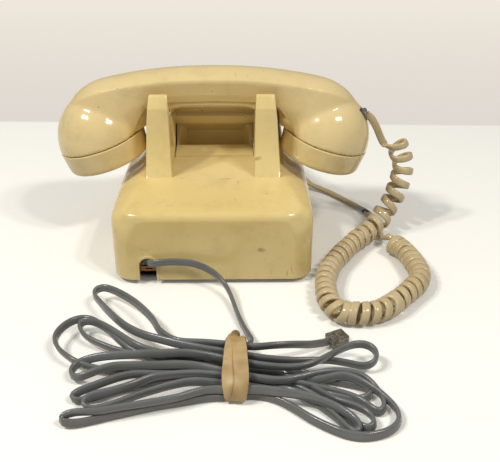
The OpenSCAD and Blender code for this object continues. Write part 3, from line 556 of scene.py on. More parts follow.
# ---- flat line cord: out of the rear notch, folded into a hank and tied, then to its plug
lineCord = {
    "wide": 5.6, "thick": 2.6, "middle": -16, "step": 2.4, "lean": 16,
    "fromNotch": [(45.7, 100.2, 16.8), (45.6, 104.5, 17.6), (43.5, 108.3, 19), (38.5, 109.6, 20.3),
                  (31, 109.6, 21.2), (22.5, 109.6, 21.1), (13.2, 110, 20.2), (4.8, 111.5, 17.3), (-1.4, 114.5, 14.6),
                  (-7.2, 119, 11.2), (-12.5, 129, 6.8), (-17, 146, 3.6), (-21, 161, 3), (-24.5, 174, 4.5),
                  (-25, 184, 5)],
    # each loop at the ends of the hank, in the order that the cord runs through them
    "left": [
        [(5, 195, 5), (26, 196, 8), (40, 194, 11), (51, 186, 12), (63, 175, 12), (74, 166, 11), (81, 164, 10),
         (83, 167, 9), (78, 176, 7), (69, 182, 6), (59, 187, 5), (48, 190, 4), (26, 195, 3.2), (5, 198, 3.2)],
        [(8, 201, 3.2), (34, 197, 5), (51, 188, 8), (65, 172, 9.5), (75, 163, 10), (82, 161, 10), (89, 165, 10),
         (94, 174, 10), (95, 182, 9.5), (92, 190, 9), (86, 197, 8.5), (77, 203, 7), (62, 207, 4.5),
         (42, 208, 3.2), (8, 206, 3.2)],
        [(9, 211, 4), (31, 214, 7), (44, 216, 8.5), (55, 220, 8), (65, 224, 6.5), (73, 227, 5), (77, 231, 4),
         (72, 233, 3.2), (62, 229, 3.2), (46, 222, 3.2), (26, 218, 3.2), (8, 216, 3.2)],
        [(-1, 231, 3.2), (15, 235, 3.2), (28, 238, 3.2), (41, 242, 3.2), (54, 246, 3.2), (66, 250, 3.2),
         (75, 252, 4), (79, 250, 6.3), (71, 248, 8.6), (60, 248, 8.8), (47, 245, 9), (34, 242, 9),
         (15, 237, 9), (0, 231, 9)],
        [(6, 222, 8), (19, 225, 8), (29, 228, 7), (39, 231, 5.5), (49, 235, 4), (59, 239, 3.4), (66, 240, 3.6),
         (69, 236, 5.4), (64, 233, 7.4), (56, 232, 8.6), (47, 229, 9.2), (39, 225, 9.5), (31, 220, 9.6),
         (20, 218, 9.6), (6, 217, 9.6)],
        [(10, 211, 11), (31, 211, 11), (45, 211, 11), (56, 211, 10.5), (67, 214, 8.5), (75, 216, 6),
         (80, 212, 5), (80, 206, 6), (75, 203, 8), (67, 202, 10), (58, 202, 11.4), (46, 202, 12),
         (32, 201, 12), (10, 201, 12)],
        [(2, 197, 12), (19, 192, 12.5), (30, 188, 13), (41, 183, 13), (53, 173, 12.5), (65, 157, 11.5),
         (74, 143, 11), (79, 134, 10.5), (78, 127, 10.5), (73, 125, 10.5), (63, 132, 11), (52, 143, 11.5),
         (43, 155, 12), (36, 167, 12.5), (31, 179, 13), (24, 187, 13), (17, 191, 13), (2, 192, 13)],
    ],
    "right": [
        [(-35, 200, 3.2), (-49, 205, 3.2), (-63, 213, 3.2), (-80, 219, 3.2), (-91, 223, 3.2), (-95, 228, 3.2),
         (-88, 233, 3.2), (-76, 232, 3.2), (-62, 224, 3.2), (-48, 212, 3.2), (-35, 205, 3.2)],
        [(-35, 210, 3.2), (-48, 214, 3.4), (-58, 222, 4.4), (-66, 231, 6), (-74, 239, 7), (-81, 242, 7),
         (-88, 246, 6), (-92, 251, 5), (-91, 257, 4), (-86, 257, 3.2), (-80, 250, 3.2), (-70, 239, 3.2),
         (-59, 228, 3.2), (-47, 219, 3.2), (-34, 214, 3.2)],
        [(-35, 219, 3.2), (-48, 219, 4), (-66, 220, 7), (-77, 218, 8.4), (-84, 220, 8.4), (-90, 224, 7.5),
         (-96, 229, 6.5), (-102, 236, 5), (-106, 243, 4), (-106, 251, 3.6), (-102, 257, 3.4), (-95, 261, 3.2),
         (-85, 263, 3.2), (-76, 261, 3.2), (-66, 255, 3.2), (-57, 248, 3.2), (-50, 241, 3.2), (-43, 235, 3.2),
         (-36, 231, 3.2), (-28, 229, 3.2)],
        [(-32, 231, 9), (-44, 234, 9), (-54, 236, 9), (-64, 240, 8.6), (-74, 246, 7.4), (-81, 252, 6),
         (-84, 259, 4.6), (-80, 261, 3.6), (-76, 255, 3.2), (-71, 247, 3.4), (-64, 239, 4), (-56, 231, 4),
         (-46, 225, 3.6), (-34, 223.5, 3.4)],
        [(-30, 221, 9), (-48, 221, 6.5), (-65, 226, 5.5), (-79, 231, 5), (-88, 236, 4), (-93, 243, 3.6),
         (-97, 245, 3.6), (-100, 239, 4), (-99, 232, 5), (-96, 226, 7), (-92, 221, 8.5), (-87, 218, 9.3),
         (-80, 216, 9.6), (-73, 216, 9.6), (-63, 218, 9.6), (-52, 222, 9.6), (-41, 224, 9.6), (-30, 222, 9.6)],
        [(-32, 213, 12), (-49, 215, 12), (-60, 213, 12.5), (-71, 206, 13), (-79, 200, 13), (-86, 195, 12.5),
         (-94, 193, 12), (-100, 197, 11), (-101, 203, 9), (-97, 207, 7), (-91, 207, 6), (-82, 204, 6.5),
         (-71, 203, 7.5), (-60, 205, 9), (-49, 206, 10), (-33, 205, 11)],
    ],
    "toPlug": [(-15, 195, 13.4), (-27, 198, 14), (-38, 198, 15), (-51, 195, 13.4), (-61, 190, 9.5),
               (-68, 184.5, 6.2), (-73.8, 181.2, 4.9)],
}


def hankRoute():
    c = lineCord
    route = [Vector(p) for p in c["fromNotch"]]
    for i, left in enumerate(c["left"]):
        route += [Vector(p) for p in left]
        if i < len(c["right"]):
            right = [Vector(p) for p in c["right"][i]]
            crossing = (route[-1] + right[0]) / 2
            back = (right[-1] + Vector(c["left"][i + 1][0])) / 2
            route += [crossing, *right, back]
    route += [Vector(p) for p in c["toPlug"]]
    route = evenRoute(smoothRoute(route, 8), c["step"])
    for _ in range(3):
        route = route[:1] + [(a + b * 2 + d) / 4 for a, b, d in zip(route, route[1:], route[2:])] + route[-1:]
    return route


def leaningUps(route, lean):
    # the strip stands on its edge and leans a little, first one way and then the other
    ups = []
    for i in range(len(route)):
        ahead = (route[min(i + 1, len(route) - 1)] - route[max(i - 1, 0)]).normalized()
        angle = math.radians(lean) * math.sin(i * 0.071) * math.sin(min(i, 60) / 60 * math.pi / 2)
        ups.append(Matrix.Rotation(angle, 3, ahead) @ Vector((0, 0, 1)))
    return ups


lineRoute = hankRoute()
lineForm = sweep(lineRoute, leaningUps(lineRoute, lineCord["lean"]), flatProfile(lineCord["thick"], lineCord["wide"], 4))
lineMesh = toMetres(asMesh(lineForm))
lineRoute = [p * mm for p in lineRoute]
linePiece = addObject("lineCord", lineMesh, lineJacket, "base", ["line_lead", "line_hank", "wall_lead"], 80)
print("line cord made,", round(routeLength(lineRoute), 2), "m,", len(lineMesh.polygons), "faces")

# ---- rubber band round the hank's waist: two turns that cross, with a twist on top
band = {"x": -16.5, "midY": 209.9, "midZ": 8.3, "halfY": 24.4, "halfZ": 9.6, "wide": 8.6, "thick": 1.1, "apart": 3.6,
        "steps": 120}


def bandRoute(turn):
    c = band
    route, ups = [], []
    for i in range(c["steps"] + 1):
        t = 2 * math.pi * i / c["steps"]
        # a flattened oval that is wider than it is high
        y = math.copysign(abs(math.cos(t)) ** 0.62, math.cos(t)) * c["halfY"]
        z = math.copysign(abs(math.sin(t)) ** 0.72, math.sin(t)) * c["halfZ"]
        over = 0.9 * turn * math.sin(t + 0.7)
        shift = turn * c["apart"] * math.cos(t * 1.0 + 2.3)
        route.append(Vector((c["x"] + shift, c["midY"] + y + over * math.cos(t), max(0.7, c["midZ"] + z + over * math.sin(t)))))
        roll = turn * 22 * math.sin(2 * t + 0.4) * min(1, max(0, c["midZ"] + z - 0.7) / 3)
        twist = 180 / (1 + math.exp(-(t - 2.42) * 11)) if turn > 0 else 0
        ahead = Vector((0, -math.sin(t) * c["halfY"], math.cos(t) * c["halfZ"])).normalized()
        ups.append(Matrix.Rotation(math.radians(roll + twist), 3, ahead) @ Vector((1, 0, 0)))
    return route, ups


bandForms = []
for turn in (-1, 1):
    bandForms.append(sweep(*bandRoute(turn), flatProfile(band["thick"], band["wide"], 3)))
addPiece("rubberBand", joined(*bandForms), bandRubber, "base", ["rubber_band"], 50).data.transform(Matrix.Scale(mm, 4))
print("rubber band made")

# ---- housing, with the cheeks and ears that carry the handset
housing = {
    "half": 71, "rear": 105, "deck": 55.5, "crest": 91, "shoulder": 5.6, "nose": 9, "rearCorner": 15,
    "frontCorner": 26, "seam": (28, 66.4), "crestFront": -2, "crestRear": 5.5, "brow": 3, "lip": 25,
    "rim": 4, "wall": 3, "draft": 0.3, "cornerCut": 8, "cornerSteps": 8,
    "sideTop": [(-105, 9), (-96, 15), (-70, 22), (-40, 31), (-10, 45), (0, 49.5), (60, 52), (95, 49), (105, 38)],
    "edgeIn": [(-105, 8), (-96, 9), (-70, 14), (-40, 18), (-5, 21), (57, 20), (95, 10), (105, 8)],
    "footIn": [(-96, 0.5), (-70, 0.8), (-40, 0.9), (0, 0.76), (28, 0.7), (45, 0.57), (60, 0.5)],
    "footUp": [(-96, 0.5), (-70, 0.35), (-40, 0.33), (0, 0.25), (12, 0.3), (28, 0.54), (60, 0.6)],
    "cheek": (29.8, 49.1), "saddle": 104.6, "edge": 0.9, "plunger": (39.2, 26), "bore": 4.3,
    "pocketHalf": 29.8, "trayGap": 0.45, "notch": (45.7, 6, 21.7), "jack": (-60, 6.6, 18.5),
    "plate": (80.4, 92.4, 6.2), "plateLow": 8.8, "bead": (1.5, 0.7),
}


def arcRise(off, r):
    return r if off >= r else math.sqrt(max(0, r * r - (r - off) ** 2))


def topHeight(y):
    h = housing
    lipRear = -h["rear"] + h["nose"]
    slope = (h["crest"] - 2 - h["lip"]) / (h["crestFront"] - h["brow"] - lipRear)
    if y > h["rear"] - h["shoulder"]:
        return h["deck"] - h["shoulder"] + arcRise(h["rear"] - y, h["shoulder"])
    if y > h["seam"][0]:
        span = h["rear"] - h["shoulder"] - h["seam"][0]
        return h["deck"] + (h["seam"][1] - h["deck"]) * (h["rear"] - h["shoulder"] - y) / span
    if y > h["crestRear"]:
        return h["seam"][1] + (h["crest"] - h["seam"][1]) * (h["seam"][0] - y) / (h["seam"][0] - h["crestRear"])
    if y > h["crestFront"]:
        return h["crest"]
    if y > h["crestFront"] - h["brow"]:
        return h["crest"] - 2 * (h["crestFront"] - y) / h["brow"]
    if y > lipRear:
        return h["lip"] + (y - lipRear) * slope
    return h["lip"] - h["nose"] + arcRise(y + h["rear"], h["nose"])


def roundedCorner(a, b, c):
    h = housing
    p = b + (a - b).normalized() * min(h["cornerCut"], (a - b).length * 0.48)
    q = b + (c - b).normalized() * min(h["cornerCut"], (c - b).length * 0.48)
    steps = [i / h["cornerSteps"] for i in range(h["cornerSteps"] + 1)]
    return [p * (1 - t) ** 2 + b * 2 * t * (1 - t) + q * t * t for t in steps]


def housingRing(y, inset, place, rim):
    h = housing
    loss = 0
    if y > h["rear"] - h["rearCorner"]:
        loss = h["rearCorner"] - arcRise(h["rear"] - y, h["rearCorner"])
    if y < h["frontCorner"] - h["rear"]:
        loss = h["frontCorner"] - arcRise(y + h["rear"], h["frontCorner"])
    wide = h["half"] - loss - inset
    top = topHeight(y) - inset
    low = min(tableValue(h["sideTop"], y), topHeight(y) - 7) - inset / 2
    edge = tableValue(h["edgeIn"], y)
    foot = Vector((wide - edge * tableValue(h["footIn"], y), low + (top - low) * tableValue(h["footUp"], y)))
    a, b, d, e = (Vector(p) for p in ((wide - h["draft"], rim), (wide, low), (wide - edge, top), (0, top)))
    line = [a, *roundedCorner(a, b, foot), *roundedCorner(b, foot, d), *roundedCorner(foot, d, e)]
    return [(x, place, z) for x, z in line] + [(-x, place, z) for x, z in reversed(line)]


def housingLoft(inset, rim):
    h = housing
    turns = [math.radians(7.5 * k) for k in range(13)]
    stations = [-h["rear"] + h["frontCorner"] * (1 - math.cos(t)) for t in turns]
    stations += [-76 + 4 * k for k in range(18)] + [h["crestFront"] - h["brow"], h["crestFront"], h["crestRear"]]
    stations += [9, 13, 17, 21, 25, h["seam"][0]] + [33 + 5 * k for k in range(10)]
    stations += [h["rear"] - h["rearCorner"] * (1 - math.cos(t)) for t in reversed(turns)]
    shrink = (h["rear"] - inset) / h["rear"]
    return loft([housingRing(y, inset, y * shrink, rim) for y in stations])


def cheekForm():
    # a cheek and its rear ear in one outline, drawn from the side and tapered upwards
    outline = [(-1, 60), (57.7, 60), (56.2, 104.6), (55.9, 113), (51, 121.7), (47.6, 121.7), (46.8, 113),
               (46.3, 104.6), (0, 104.6)]
    widths = [(60, 29.7, 49.2), (104.6, 30.5, 46.2), (121.7, 31.2, 44.4)]
    form = bmesh.new()
    side = form.faces.new([form.verts.new((0, y, z)) for y, z in outline])
    made = bmesh.ops.extrude_face_region(form, geom=[side])["geom"]
    bmesh.ops.translate(form, vec=(1, 0, 0), verts=[v for v in made if isinstance(v, bmesh.types.BMVert)])
    for v in form.verts:
        rows = [(z, outer if v.co.x > 0.5 else inner) for z, inner, outer in widths]
        v.co.x = straightValue(rows, v.co.z)
    bmesh.ops.recalc_face_normals(form, faces=form.faces)
    bmesh.ops.bevel(form, geom=form.edges, offset=housing["edge"], offset_type="OFFSET", affect="EDGES",
                    segments=3, profile=0.5, material=-1, clamp_overlap=True)
    return form


def frontEar():
    form = loft([[(x0, y0, z), (x1, y0, z), (x1, y1, z), (x0, y1, z)] for x0, x1, y0, y1, z in (
        (30, 49.5, -4.5, 9.5, 80), (30.6, 52.5, -5, 9, 104), (32, 54.5, -3, 7.5, 112.5))])
    bmesh.ops.bevel(form, geom=form.edges, offset=housing["edge"], offset_type="OFFSET", affect="EDGES",
                    segments=3, profile=0.5, material=-1, clamp_overlap=True)
    return form


def cylinderForm(radius, low, high, place, steps=48):
    form = turned([(0, low), (radius, low), (radius, high), (0, high)], steps)
    bmesh.ops.translate(form, vec=(place[0], place[1], 0), verts=form.verts)
    return form


def archForm(half, top, y0, y1, x):
    # an opening with a round top, through the rear wall
    form = bmesh.new()
    steps = [math.pi * k / 24 for k in range(25)]
    outline = [(half * math.cos(t), top - half + half * math.sin(t)) for t in steps] + [(-half, -1), (half, -1)]
    face = form.faces.new([form.verts.new((x + a, y0, z)) for a, z in outline])
    made = bmesh.ops.extrude_face_region(form, geom=[face])["geom"]
    bmesh.ops.translate(form, vec=(0, y1 - y0, 0), verts=[v for v in made if isinstance(v, bmesh.types.BMVert)])
    bmesh.ops.recalc_face_normals(form, faces=form.faces)
    return form


def onFace(form):
    # moves a form from flat to the sloping face in front
    h = housing
    lipRear = -h["rear"] + h["nose"]
    angle = math.atan2(h["crest"] - 2 - h["lip"], h["crestFront"] - h["brow"] - lipRear)
    matrix = Matrix.Translation((0, lipRear, h["lip"])) @ Matrix.Rotation(angle, 4, "X")
    bmesh.ops.transform(form, matrix=matrix, verts=form.verts)
    return form


def roundedPlate(width, height, r, low, z0, z1):
    form = bmesh.new()
    verts = bmesh.ops.create_cube(form, size=1)["verts"]
    for v in verts:
        v.co = (v.co.x * width, low + (v.co.y + 0.5) * height, z1 if v.co.z > 0 else z0)
    corners = [e for e in form.edges if abs(e.verts[0].co.z - e.verts[1].co.z) > abs(z1 - z0) / 2]
    bmesh.ops.bevel(form, geom=corners, offset=r, offset_type="OFFSET", affect="EDGES", segments=8,
                    profile=0.5, material=-1, clamp_overlap=True)
    return form


def makeHousing():
    h = housing
    cheek, ear = cheekForm(), frontEar()
    jackY, jackHalf, jackTop = h["jack"]
    jack = (-80, -63, jackY - jackHalf, jackY + jackHalf)
    openings = [archForm(h["notch"][1], h["notch"][2], 92, 110, h["notch"][0]),
                taperedBlock((*jack, -1), (*jack, jackTop)), onFace(roundedPlate(*h["plate"], h["plateLow"], -6, 6))]
    inside = booleans(asMesh(housingLoft(h["wall"], h["rim"] - 1)), "UNION", [asMesh(f) for f in openings])
    wide, proud = h["bead"]
    bead = archForm(h["notch"][1] + wide, h["notch"][2] + wide, 104, h["rear"] + proud, h["notch"][0])
    bmesh.ops.bisect_plane(bead, geom=bead.verts[:] + bead.edges[:] + bead.faces[:], dist=1e-4,
                           plane_co=(0, 0, h["rim"]), plane_no=(0, 0, 1), clear_inner=True)
    bmesh.ops.holes_fill(bead, edges=bead.edges)
    shell = booleans(asMesh(housingLoft(0, h["rim"])), "UNION",
                     [asMesh(f) for f in (mirrored(cheek), mirrored(ear), cheek, ear, bead)])
    shell = booleans(shell, "DIFFERENCE", [inside])
    hollow = taperedBlock((32.4, 46.2, 2, 54, 50), (33.2, 43.2, 3, 53, 101.4))
    bore = cylinderForm(h["bore"], 50, 112, h["plunger"])
    pocket = (-h["pocketHalf"], h["pocketHalf"], h["crestRear"], h["seam"][0] + h["trayGap"])
    corner = (h["pocketHalf"] - 1, h["pocketHalf"] + 0.4, h["seam"][0] - 0.5, h["seam"][0] + 1.6)
    cuts = [mirrored(hollow), mirrored(bore), hollow, bore, taperedBlock((*pocket, 50), (*pocket, 99)),
            taperedBlock((*corner, 60), (*corner, 70))]
    shell = booleans(shell, "DIFFERENCE", [asMesh(f) for f in cuts])
    bar = taperedBlock((-31, 31, 2.6, 5.5, 84), (-31, 31, 2.6, 5.5, 90.4), 0.5, 2)
    rib = taperedBlock((-31, 31, -2.4, 1.4, 88), (-30.4, 30.4, -1.8, 0.8, 95.2), 0.6, 3)
    shell = booleans(shell, "UNION", [asMesh(bar), asMesh(rib)])
    return toMetres(finished(shell, [("WEIGHTED_NORMAL", {"keep_sharp": True, "weight": 50})]))


housingPiece = addObject("housingShell", makeHousing(), plastic, "base", ["housing"])
print("housing made,", len(housingPiece.data.polygons), "faces")

# ---- handset
handset = {
    "gripY": 26, "cap": (84.1, 26, 80.8), "tilt": 17, "seam": 32.2, "high": 36, "capDepth": 17.5, "voxel": 1.1, "crown": 1.8,
    "underZ": [(0, 107.6), (26, 107.2), (30, 104.9), (47.9, 104.9), (48.2, 103.6), (48.5, 100.5), (48.8, 96.5),
               (49.3, 92.4), (52, 91.4), (84, 84), (100, 78.8), (107, 77)],
    "underHalf": [(0, 12.5), (48, 13), (55, 14), (60, 16), (70, 20), (84, 23), (95, 20), (102, 14), (107, 8)],
    "ridgeHalf": [(0, 17.6), (51, 17.7), (66, 18.2), (80, 18), (93, 14.6), (101, 10), (107, 3)],
    "ridgeZ": [(0, 130), (26, 129.4), (51, 127), (72, 123.6), (82, 121.2), (91, 117.6), (101, 110.5), (107, 103)],
    "crownZ": [(0, 135.2), (23, 134.6), (51, 131.8), (79, 126.4), (88, 123.6), (96, 119), (102, 113.6),
               (107, 106.8)],
    # the undercut below the handle's sides: its top edge, and how far it goes in
    "cutZ": [(0, 113.8), (26, 113.1), (40, 112), (46, 110), (51.5, 104), (55, 97.5), (58.6, 90), (62, 82)],
    "cutIn": [(0, 12.6), (42, 12.6), (46.5, 5), (50, 5.5), (62, 17.5)],
    "socket": (-97, 30, 100),
}


def capFrame(side):
    x, y, z = handset["cap"]
    return Matrix.Translation((side * x, y, z)) @ Matrix.Rotation(math.radians(side * handset["tilt"]), 4, "Y")


def handleRing(x):
    h = handset
    u, b = straightValue(h["underZ"], abs(x)), tableValue(h["underHalf"], abs(x))
    r, z, c = (tableValue(h[key], abs(x)) for key in ("ridgeHalf", "ridgeZ", "crownZ"))
    line = [(b - 3, u), (b, u + 2.6), ((b + r) / 2 + 0.6, (u + z) / 2)]
    line += [(r * k / 9, z + (c - z) * (1 - (k / 9) ** h["crown"])) for k in range(9, 0, -1)]
    return ([(x, h["gripY"] + y, z) for y, z in line] + [(x, h["gripY"], c)]
            + [(x, h["gripY"] - y, z) for y, z in reversed(line)])


def undercut(side):
    h = handset
    rings = []
    for x in [-62, -58.6, -55, -51.5, -48.5, -46, -40, -26, -13, 0, 13, 26, 40, 46, 48.5, 51.5, 55, 58.6, 62]:
        near, top = h["gripY"] + side * straightValue(h["cutIn"], abs(x)), tableValue(h["cutZ"], abs(x))
        far = h["gripY"] + side * 60
        rings.append([(x, near, 70), (x, far, 70), (x, far, top), (x, near, top)])
    return loft(rings)


def makeHandset():
    h = handset
    cuts = [0, 4, 8, 12, 16, 20, 24, 28, 32, 36, 40, 44, 48, 49.5, 51, 52.5, 54, 55.5, 57] + list(range(59, 107, 2))
    cuts.append(107)
    handle = loft([handleRing(x) for x in [-c for c in reversed(cuts[1:])] + cuts])
    steps = [math.radians(90 * i / 20) for i in range(21)]
    bowl = [(0, 0)] + [(h["seam"] * math.cos(t) ** 1.05, h["high"] * math.sin(t) ** 1.02) for t in steps[:-1]]
    heads = []
    for side in (-1, 1):
        head = turned(bowl + [(0, h["high"])], 64)
        bmesh.ops.transform(head, matrix=capFrame(side), verts=head.verts)
        heads.append(head)
    shell = finished(asMesh(joined(handle, *heads)), [("REMESH", {"mode": "VOXEL", "voxel_size": h["voxel"]})])
    form = bmesh.new()
    form.from_mesh(shell)
    for _ in range(2):
        bmesh.ops.smooth_vert(form, verts=form.verts, factor=0.5, use_axis_x=True, use_axis_y=True, use_axis_z=True)
    # where the handle runs into the heads, but not along the edge of its top
    near = []
    for v in form.verts:
        x = abs(v.co.x)
        off = Vector((abs(v.co.y - h["gripY"]) - tableValue(h["ridgeHalf"], x), v.co.z - tableValue(h["ridgeZ"], x)))
        if 46 < x < 106 and v.co.z > (106 if x < 54 else 88) and (off.length > 3.5 or x > 98):
            near.append(v)
    for _ in range(10):
        bmesh.ops.smooth_vert(form, verts=near, factor=0.5, use_axis_x=True, use_axis_y=True, use_axis_z=True)
    for side in (-1, 1):
        frameNow = capFrame(side)
        ends = [v for v in form.verts if v.co.x * side > 20]
        ends += list({e for v in ends for e in v.link_edges}) + list({f for v in ends for f in v.link_faces})
        made = bmesh.ops.bisect_plane(form, geom=ends, dist=1e-4,
                                      plane_co=frameNow @ Vector((0, 0, 0.15)),
                                      plane_no=frameNow.to_3x3() @ Vector((0, 0, 1)), clear_inner=True)
        cutEdges = [e for e in made["geom_cut"] if isinstance(e, bmesh.types.BMEdge)]
        bmesh.ops.edgeloop_fill(form, edges=cutEdges)
    x, y, z = h["socket"]
    recess = taperedBlock((-125, x + 0.1, y - 5.6, y + 5.6, z - 5.1), (-125, x + 0.1, y - 5.6, y + 5.6, z + 5.1))
    shell = booleans(asMesh(form), "DIFFERENCE", [asMesh(cut) for cut in (recess, undercut(1), undercut(-1))])
    return toMetres(shell)


def makeCap(side, rings):
    h = handset
    d = h["capDepth"]
    profile = [(0, -d + 1.6), (12, -d + 1.4), (22.4, -d + 0.45), (24.5, -d + 0.15), (27, -d), (28.3, -d + 0.15),
               (29.4, -d + 0.6), (30.3, -d + 1.4), (30.9, -d + 2.6), (31.2, -d + 4), (32.45, -1.5), (32.5, -0.9), (32.2, -0.5),
               (31.3, -0.4), (29, -0.4), (28.9, -d + 3.4), (24, -d + 2.8), (12, -d + 3.2), (0, -d + 3.6)]
    form = turned(profile, 96)
    holes = []
    for radius, count in rings:
        for i in range(count):
            angle = 2 * math.pi * i / count
            holes.append(cylinderForm(1.1, -d - 1, -d + 7, (radius * math.cos(angle), radius * math.sin(angle)), 12))
    mesh = booleans(asMesh(form), "DIFFERENCE", [asMesh(joined(*holes))])
    mesh.transform(capFrame(side))
    return toMetres(mesh)


handsetPiece = addObject("handsetShell", makeHandset(), handsetPlastic, "handset", ["handset_shell"], 50)
for side, name, node, rings in ((1, "receiverCap", "receiver_cap", [(0, 1), (5, 6)]),
                                (-1, "transmitterCap", "transmitter_cap", [(0, 1), (5, 6), (10, 12)])):
    addObject(name, makeCap(side, rings), handsetPlastic, "handset", [node])
print("handset made,", len(handsetPiece.data.polygons), "faces")

# ---- keys: dished caps with a number on each, over their skirts and stems
keypad = {
    "pitch": 17.6, "topRow": 87, "half": (6.3, 5.5), "corner": 1.2, "low": -2, "top": 5, "edge": 0.8, "rim": 0.9,
    "dish": 0.35, "skirt": (7.4, 6.6, -3.6, -2.3), "stem": (2.5, -8.5), "number": 6.4, "ink": 0.05,
    "labels": [("key_1", "1"), ("key_2", "2"), ("key_3", "3"), ("key_4", "4"), ("key_5", "5"), ("key_6", "6"),
               ("key_7", "7"), ("key_8", "8"), ("key_9", "9"), ("key_star", "*"), ("key_0", "0"),
               ("key_hash", "#")],
}
inkBlack = plasticMaterial("numberInk", (40, 38, 36), (52, 49, 45), 0.5, (90, 84, 74), 0.1, 0.6, 60.0)


def textMesh(word, size, depth):
    curve = bpy.data.curves.new("word", "FONT")
    curve.body, curve.size, curve.extrude = word, size, depth
    curve.align_x, curve.align_y = "CENTER", "CENTER"
    obj = bpy.data.objects.new("word", curve)
    scene.collection.objects.link(obj)
    bpy.context.view_layer.update()
    mesh = bpy.data.meshes.new_from_object(obj.evaluated_get(bpy.context.evaluated_depsgraph_get()))
    bpy.data.objects.remove(obj)
    return mesh


def keyForm(label, place):
    k = keypad
    w, d = k["half"]
    form = taperedBlock((-w, w, -d, d, k["low"]), (-w, w, -d, d, k["top"]))
    upright = [e for e in form.edges if abs(e.verts[0].co.z - e.verts[1].co.z) > 1]
    bmesh.ops.bevel(form, geom=upright, offset=k["corner"], offset_type="OFFSET", affect="EDGES", segments=1,
                    profile=0.5, material=-1)
    rim = [e for e in form.edges if min(v.co.z for v in e.verts) > k["top"] - 0.01]
    bmesh.ops.bevel(form, geom=rim, offset=k["edge"], offset_type="OFFSET", affect="EDGES", segments=3,
                    profile=0.5, material=-1)
    face = max(form.faces, key=lambda f: (round(f.calc_center_median().z, 2), f.calc_area()))
    bmesh.ops.inset_region(form, faces=[face], thickness=k["rim"], depth=-k["dish"])
    a, b, low, high = k["skirt"]
    r, deep = k["stem"]
    form = joined(form, taperedBlock((-a, a, -b, b, low), (-a, a, -b, b, high), 0.4, 2),
                  taperedBlock((-r, r, -r, r, deep), (-r, r, -r, r, k["low"] + 0.1), 0.2, 1))
    plain = len(form.faces)
    number = textMesh(label, k["number"], k["ink"])
    number.transform(Matrix.Translation((0, -0.9 if label == "*" else 0, k["top"] - k["dish"] + 0.02)))
    form.from_mesh(number)
    bmesh.ops.translate(form, vec=(*place, 0), verts=form.verts)
    return onFace(form), plain


for i, (node, label) in enumerate(keypad["labels"]):
    place = ((i % 3 - 1) * keypad["pitch"], keypad["topRow"] - i // 3 * keypad["pitch"])
    keyShape, plain = keyForm(label, place)
    keyPiece = addObject("cap_" + node, toMetres(asMesh(keyShape)), keyPlastic, node, [node])
    keyPiece.data.materials.append(inkBlack)
    for face in keyPiece.data.polygons[plain:]:
        face.material_index = 1
print("keys made")

# the plate's four slotted screws
dialScrews = {"places": [(-33, 40), (33, 40), (-33, 86), (33, 86)], "head": (2.6, 0.6, 1.6), "shank": (1.5, -8),
              "slot": (0.35, 0.5)}


def screwForm(place, turn):
    r, low, high = dialScrews["head"]
    shank, deep = dialScrews["shank"]
    half, depth = dialScrews["slot"]
    profile = [(0, deep), (shank, deep), (shank, low), (r, low), (r, low + 0.35), (r - 0.25, high - 0.3),
               (r * 0.6, high - 0.08), (0, high)]
    slot = taperedBlock((-r - 1, r + 1, -half, half, high - depth), (-r - 1, r + 1, -half, half, high + 1))
    bmesh.ops.rotate(slot, cent=(0, 0, 0), matrix=Matrix.Rotation(turn, 3, "Z"), verts=slot.verts)
    form = bmesh.new()
    form.from_mesh(booleans(asMesh(turned(profile, 40)), "DIFFERENCE", [asMesh(slot)]))
    bmesh.ops.translate(form, vec=(*place, 0), verts=form.verts)
    return onFace(form)


screws = joined(*[screwForm(place, 0.4 + 0.7 * i) for i, place in enumerate(dialScrews["places"])])
addObject("plateScrews", toMetres(asMesh(screws)), steel, "base", ["dial_screws"])

# ---- the wall plug on the cord's end: a clear body with a latch, and four contacts
wallPlug = {"nose": (-85.5, 175, 4.8), "turn": 27, "size": (12.4, 9.6, 6.6), "latch": (10.4, 3.2), "contacts": 4,
            "gap": 1.27}


def plugPlace(form):
    place = (Matrix.Translation(wallPlug["nose"]) @ Matrix.Rotation(math.radians(wallPlug["turn"]), 4, "Z")
             @ Matrix.Scale(-1, 4, (1, 0, 0)))
    bmesh.ops.transform(form, matrix=place, verts=form.verts)
    bmesh.ops.recalc_face_normals(form, faces=form.faces)
    return form


def plugBody():
    # lies on its latch side, so that its contacts face up
    deep, wide, high = wallPlug["size"]
    w, h = wide / 2, high / 2
    body = taperedBlock((-deep, -0.3, -w, w, -h), (-deep, -0.3, -w, w, h), 0.5, 3)
    channels = [taperedBlock((-5.6, 1, y - 0.28, y + 0.28, h - 2.4), (-5.6, 1, y - 0.28, y + 0.28, h + 1))
                for y in contactRows()]
    channels.append(taperedBlock((-deep - 1, -deep + 5.4, -3.1, 3.1, -1.6), (-deep - 1, -deep + 5.4, -3.1, 3.1, 1.6), 0.3, 2))
    channels.append(taperedBlock((-deep + 2, -7, -w + 1, w - 1, h - 1.3), (-deep + 2, -7, -w + 1, w - 1, h + 1), 0.3, 2))
    long, half = wallPlug["latch"]
    latch = taperedBlock((-long - 1, -1, -half / 2, half / 2, -h - 0.9), (-long - 1, -1, -half / 2, half / 2, -h + 0.2),
                         0.25, 2)
    mesh = booleans(asMesh(joined(body)), "DIFFERENCE", [asMesh(joined(*channels))])
    mesh = booleans(mesh, "UNION", [asMesh(latch)])
    form = bmesh.new()
    form.from_mesh(mesh)
    return plugPlace(form)


def contactRows():
    p = wallPlug
    return [(i - (p["contacts"] - 1) / 2) * p["gap"] for i in range(p["contacts"])]


def plugContacts():
    h = wallPlug["size"][2] / 2
    blades = [taperedBlock((-5.2, -1.2, y - 0.2, y + 0.2, h - 2.9), (-4.8, -1.6, y - 0.2, y + 0.2, h - 0.5), 0.08, 1)
              for y in contactRows()]
    return plugPlace(joined(*blades))


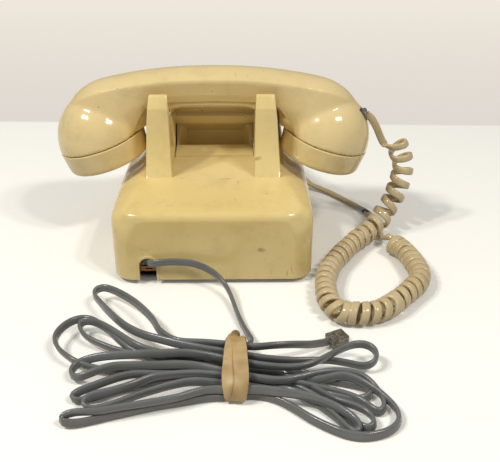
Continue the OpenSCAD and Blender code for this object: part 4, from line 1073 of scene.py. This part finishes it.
plugMesh = toMetres(asMesh(plugBody()))
addObject("wallPlugBody", plugMesh, clearPlastic, "base", ["wall_plug"])
addObject("wallPlugContacts", toMetres(asMesh(plugContacts())), brass, "base", ())
print("wall plug made")

# ---- floor, paler near the set and a little greyer behind it
floorMesh = bpy.data.meshes.new("floor")
form = bmesh.new()
bmesh.ops.create_grid(form, x_segments=2, y_segments=2, size=3)
form.to_mesh(floorMesh)
form.free()
floor = bpy.data.objects.new("floor", floorMesh)
scene.collection.objects.link(floor)
floorPaper = bpy.data.materials.new("floorPaper")
floorPaper.use_nodes = True
floorTree = floorPaper.node_tree
axes = addNode(floorTree, "SeparateXYZ", {0: addNode(floorTree, "TexCoord").outputs["Object"]}).outputs
across = calc(floorTree, "ADD", axes["Y"], calc(floorTree, "MULTIPLY", axes["X"], 0.037))
paper = floorTree.nodes["Principled BSDF"]
paper.inputs["Roughness"].default_value = 0.85
paper.inputs["Specular IOR Level"].default_value = 0.1
# the room behind the table's edge is only shown, and lights nothing
backColour = mixed(floorTree, ranged(floorTree, across, -0.9, -0.24), linear(240, 233, 220), linear(224, 217, 209))
backdrop = addNode(floorTree, "Emission", {"Color": backColour})
path = addNode(floorTree, "LightPath").outputs
shown = calc(floorTree, "MAXIMUM", path["Is Camera Ray"],
             calc(floorTree, "MAXIMUM", path["Is Glossy Ray"], path["Is Transmission Ray"]))
behind = calc(floorTree, "MULTIPLY", ranged(floorTree, across, -0.225, -0.221, 1.0, 0.0), shown)
# the paper throws less light up at the set than it shows
floorTree.links.new(mixed(floorTree, shown, linear(176, 172, 162), linear(252, 250, 243)), paper.inputs["Base Color"])
paper.inputs["Emission Color"].default_value = linear(255, 252, 243)
floorTree.links.new(calc(floorTree, "MULTIPLY", shown, 0.07), paper.inputs["Emission Strength"])
surface = addNode(floorTree, "MixShader", {0: behind, 1: paper.outputs[0], 2: backdrop.outputs[0]})
floorTree.links.new(surface.outputs[0], floorTree.nodes["Material Output"].inputs["Surface"])
floorMesh.materials.append(floorPaper)
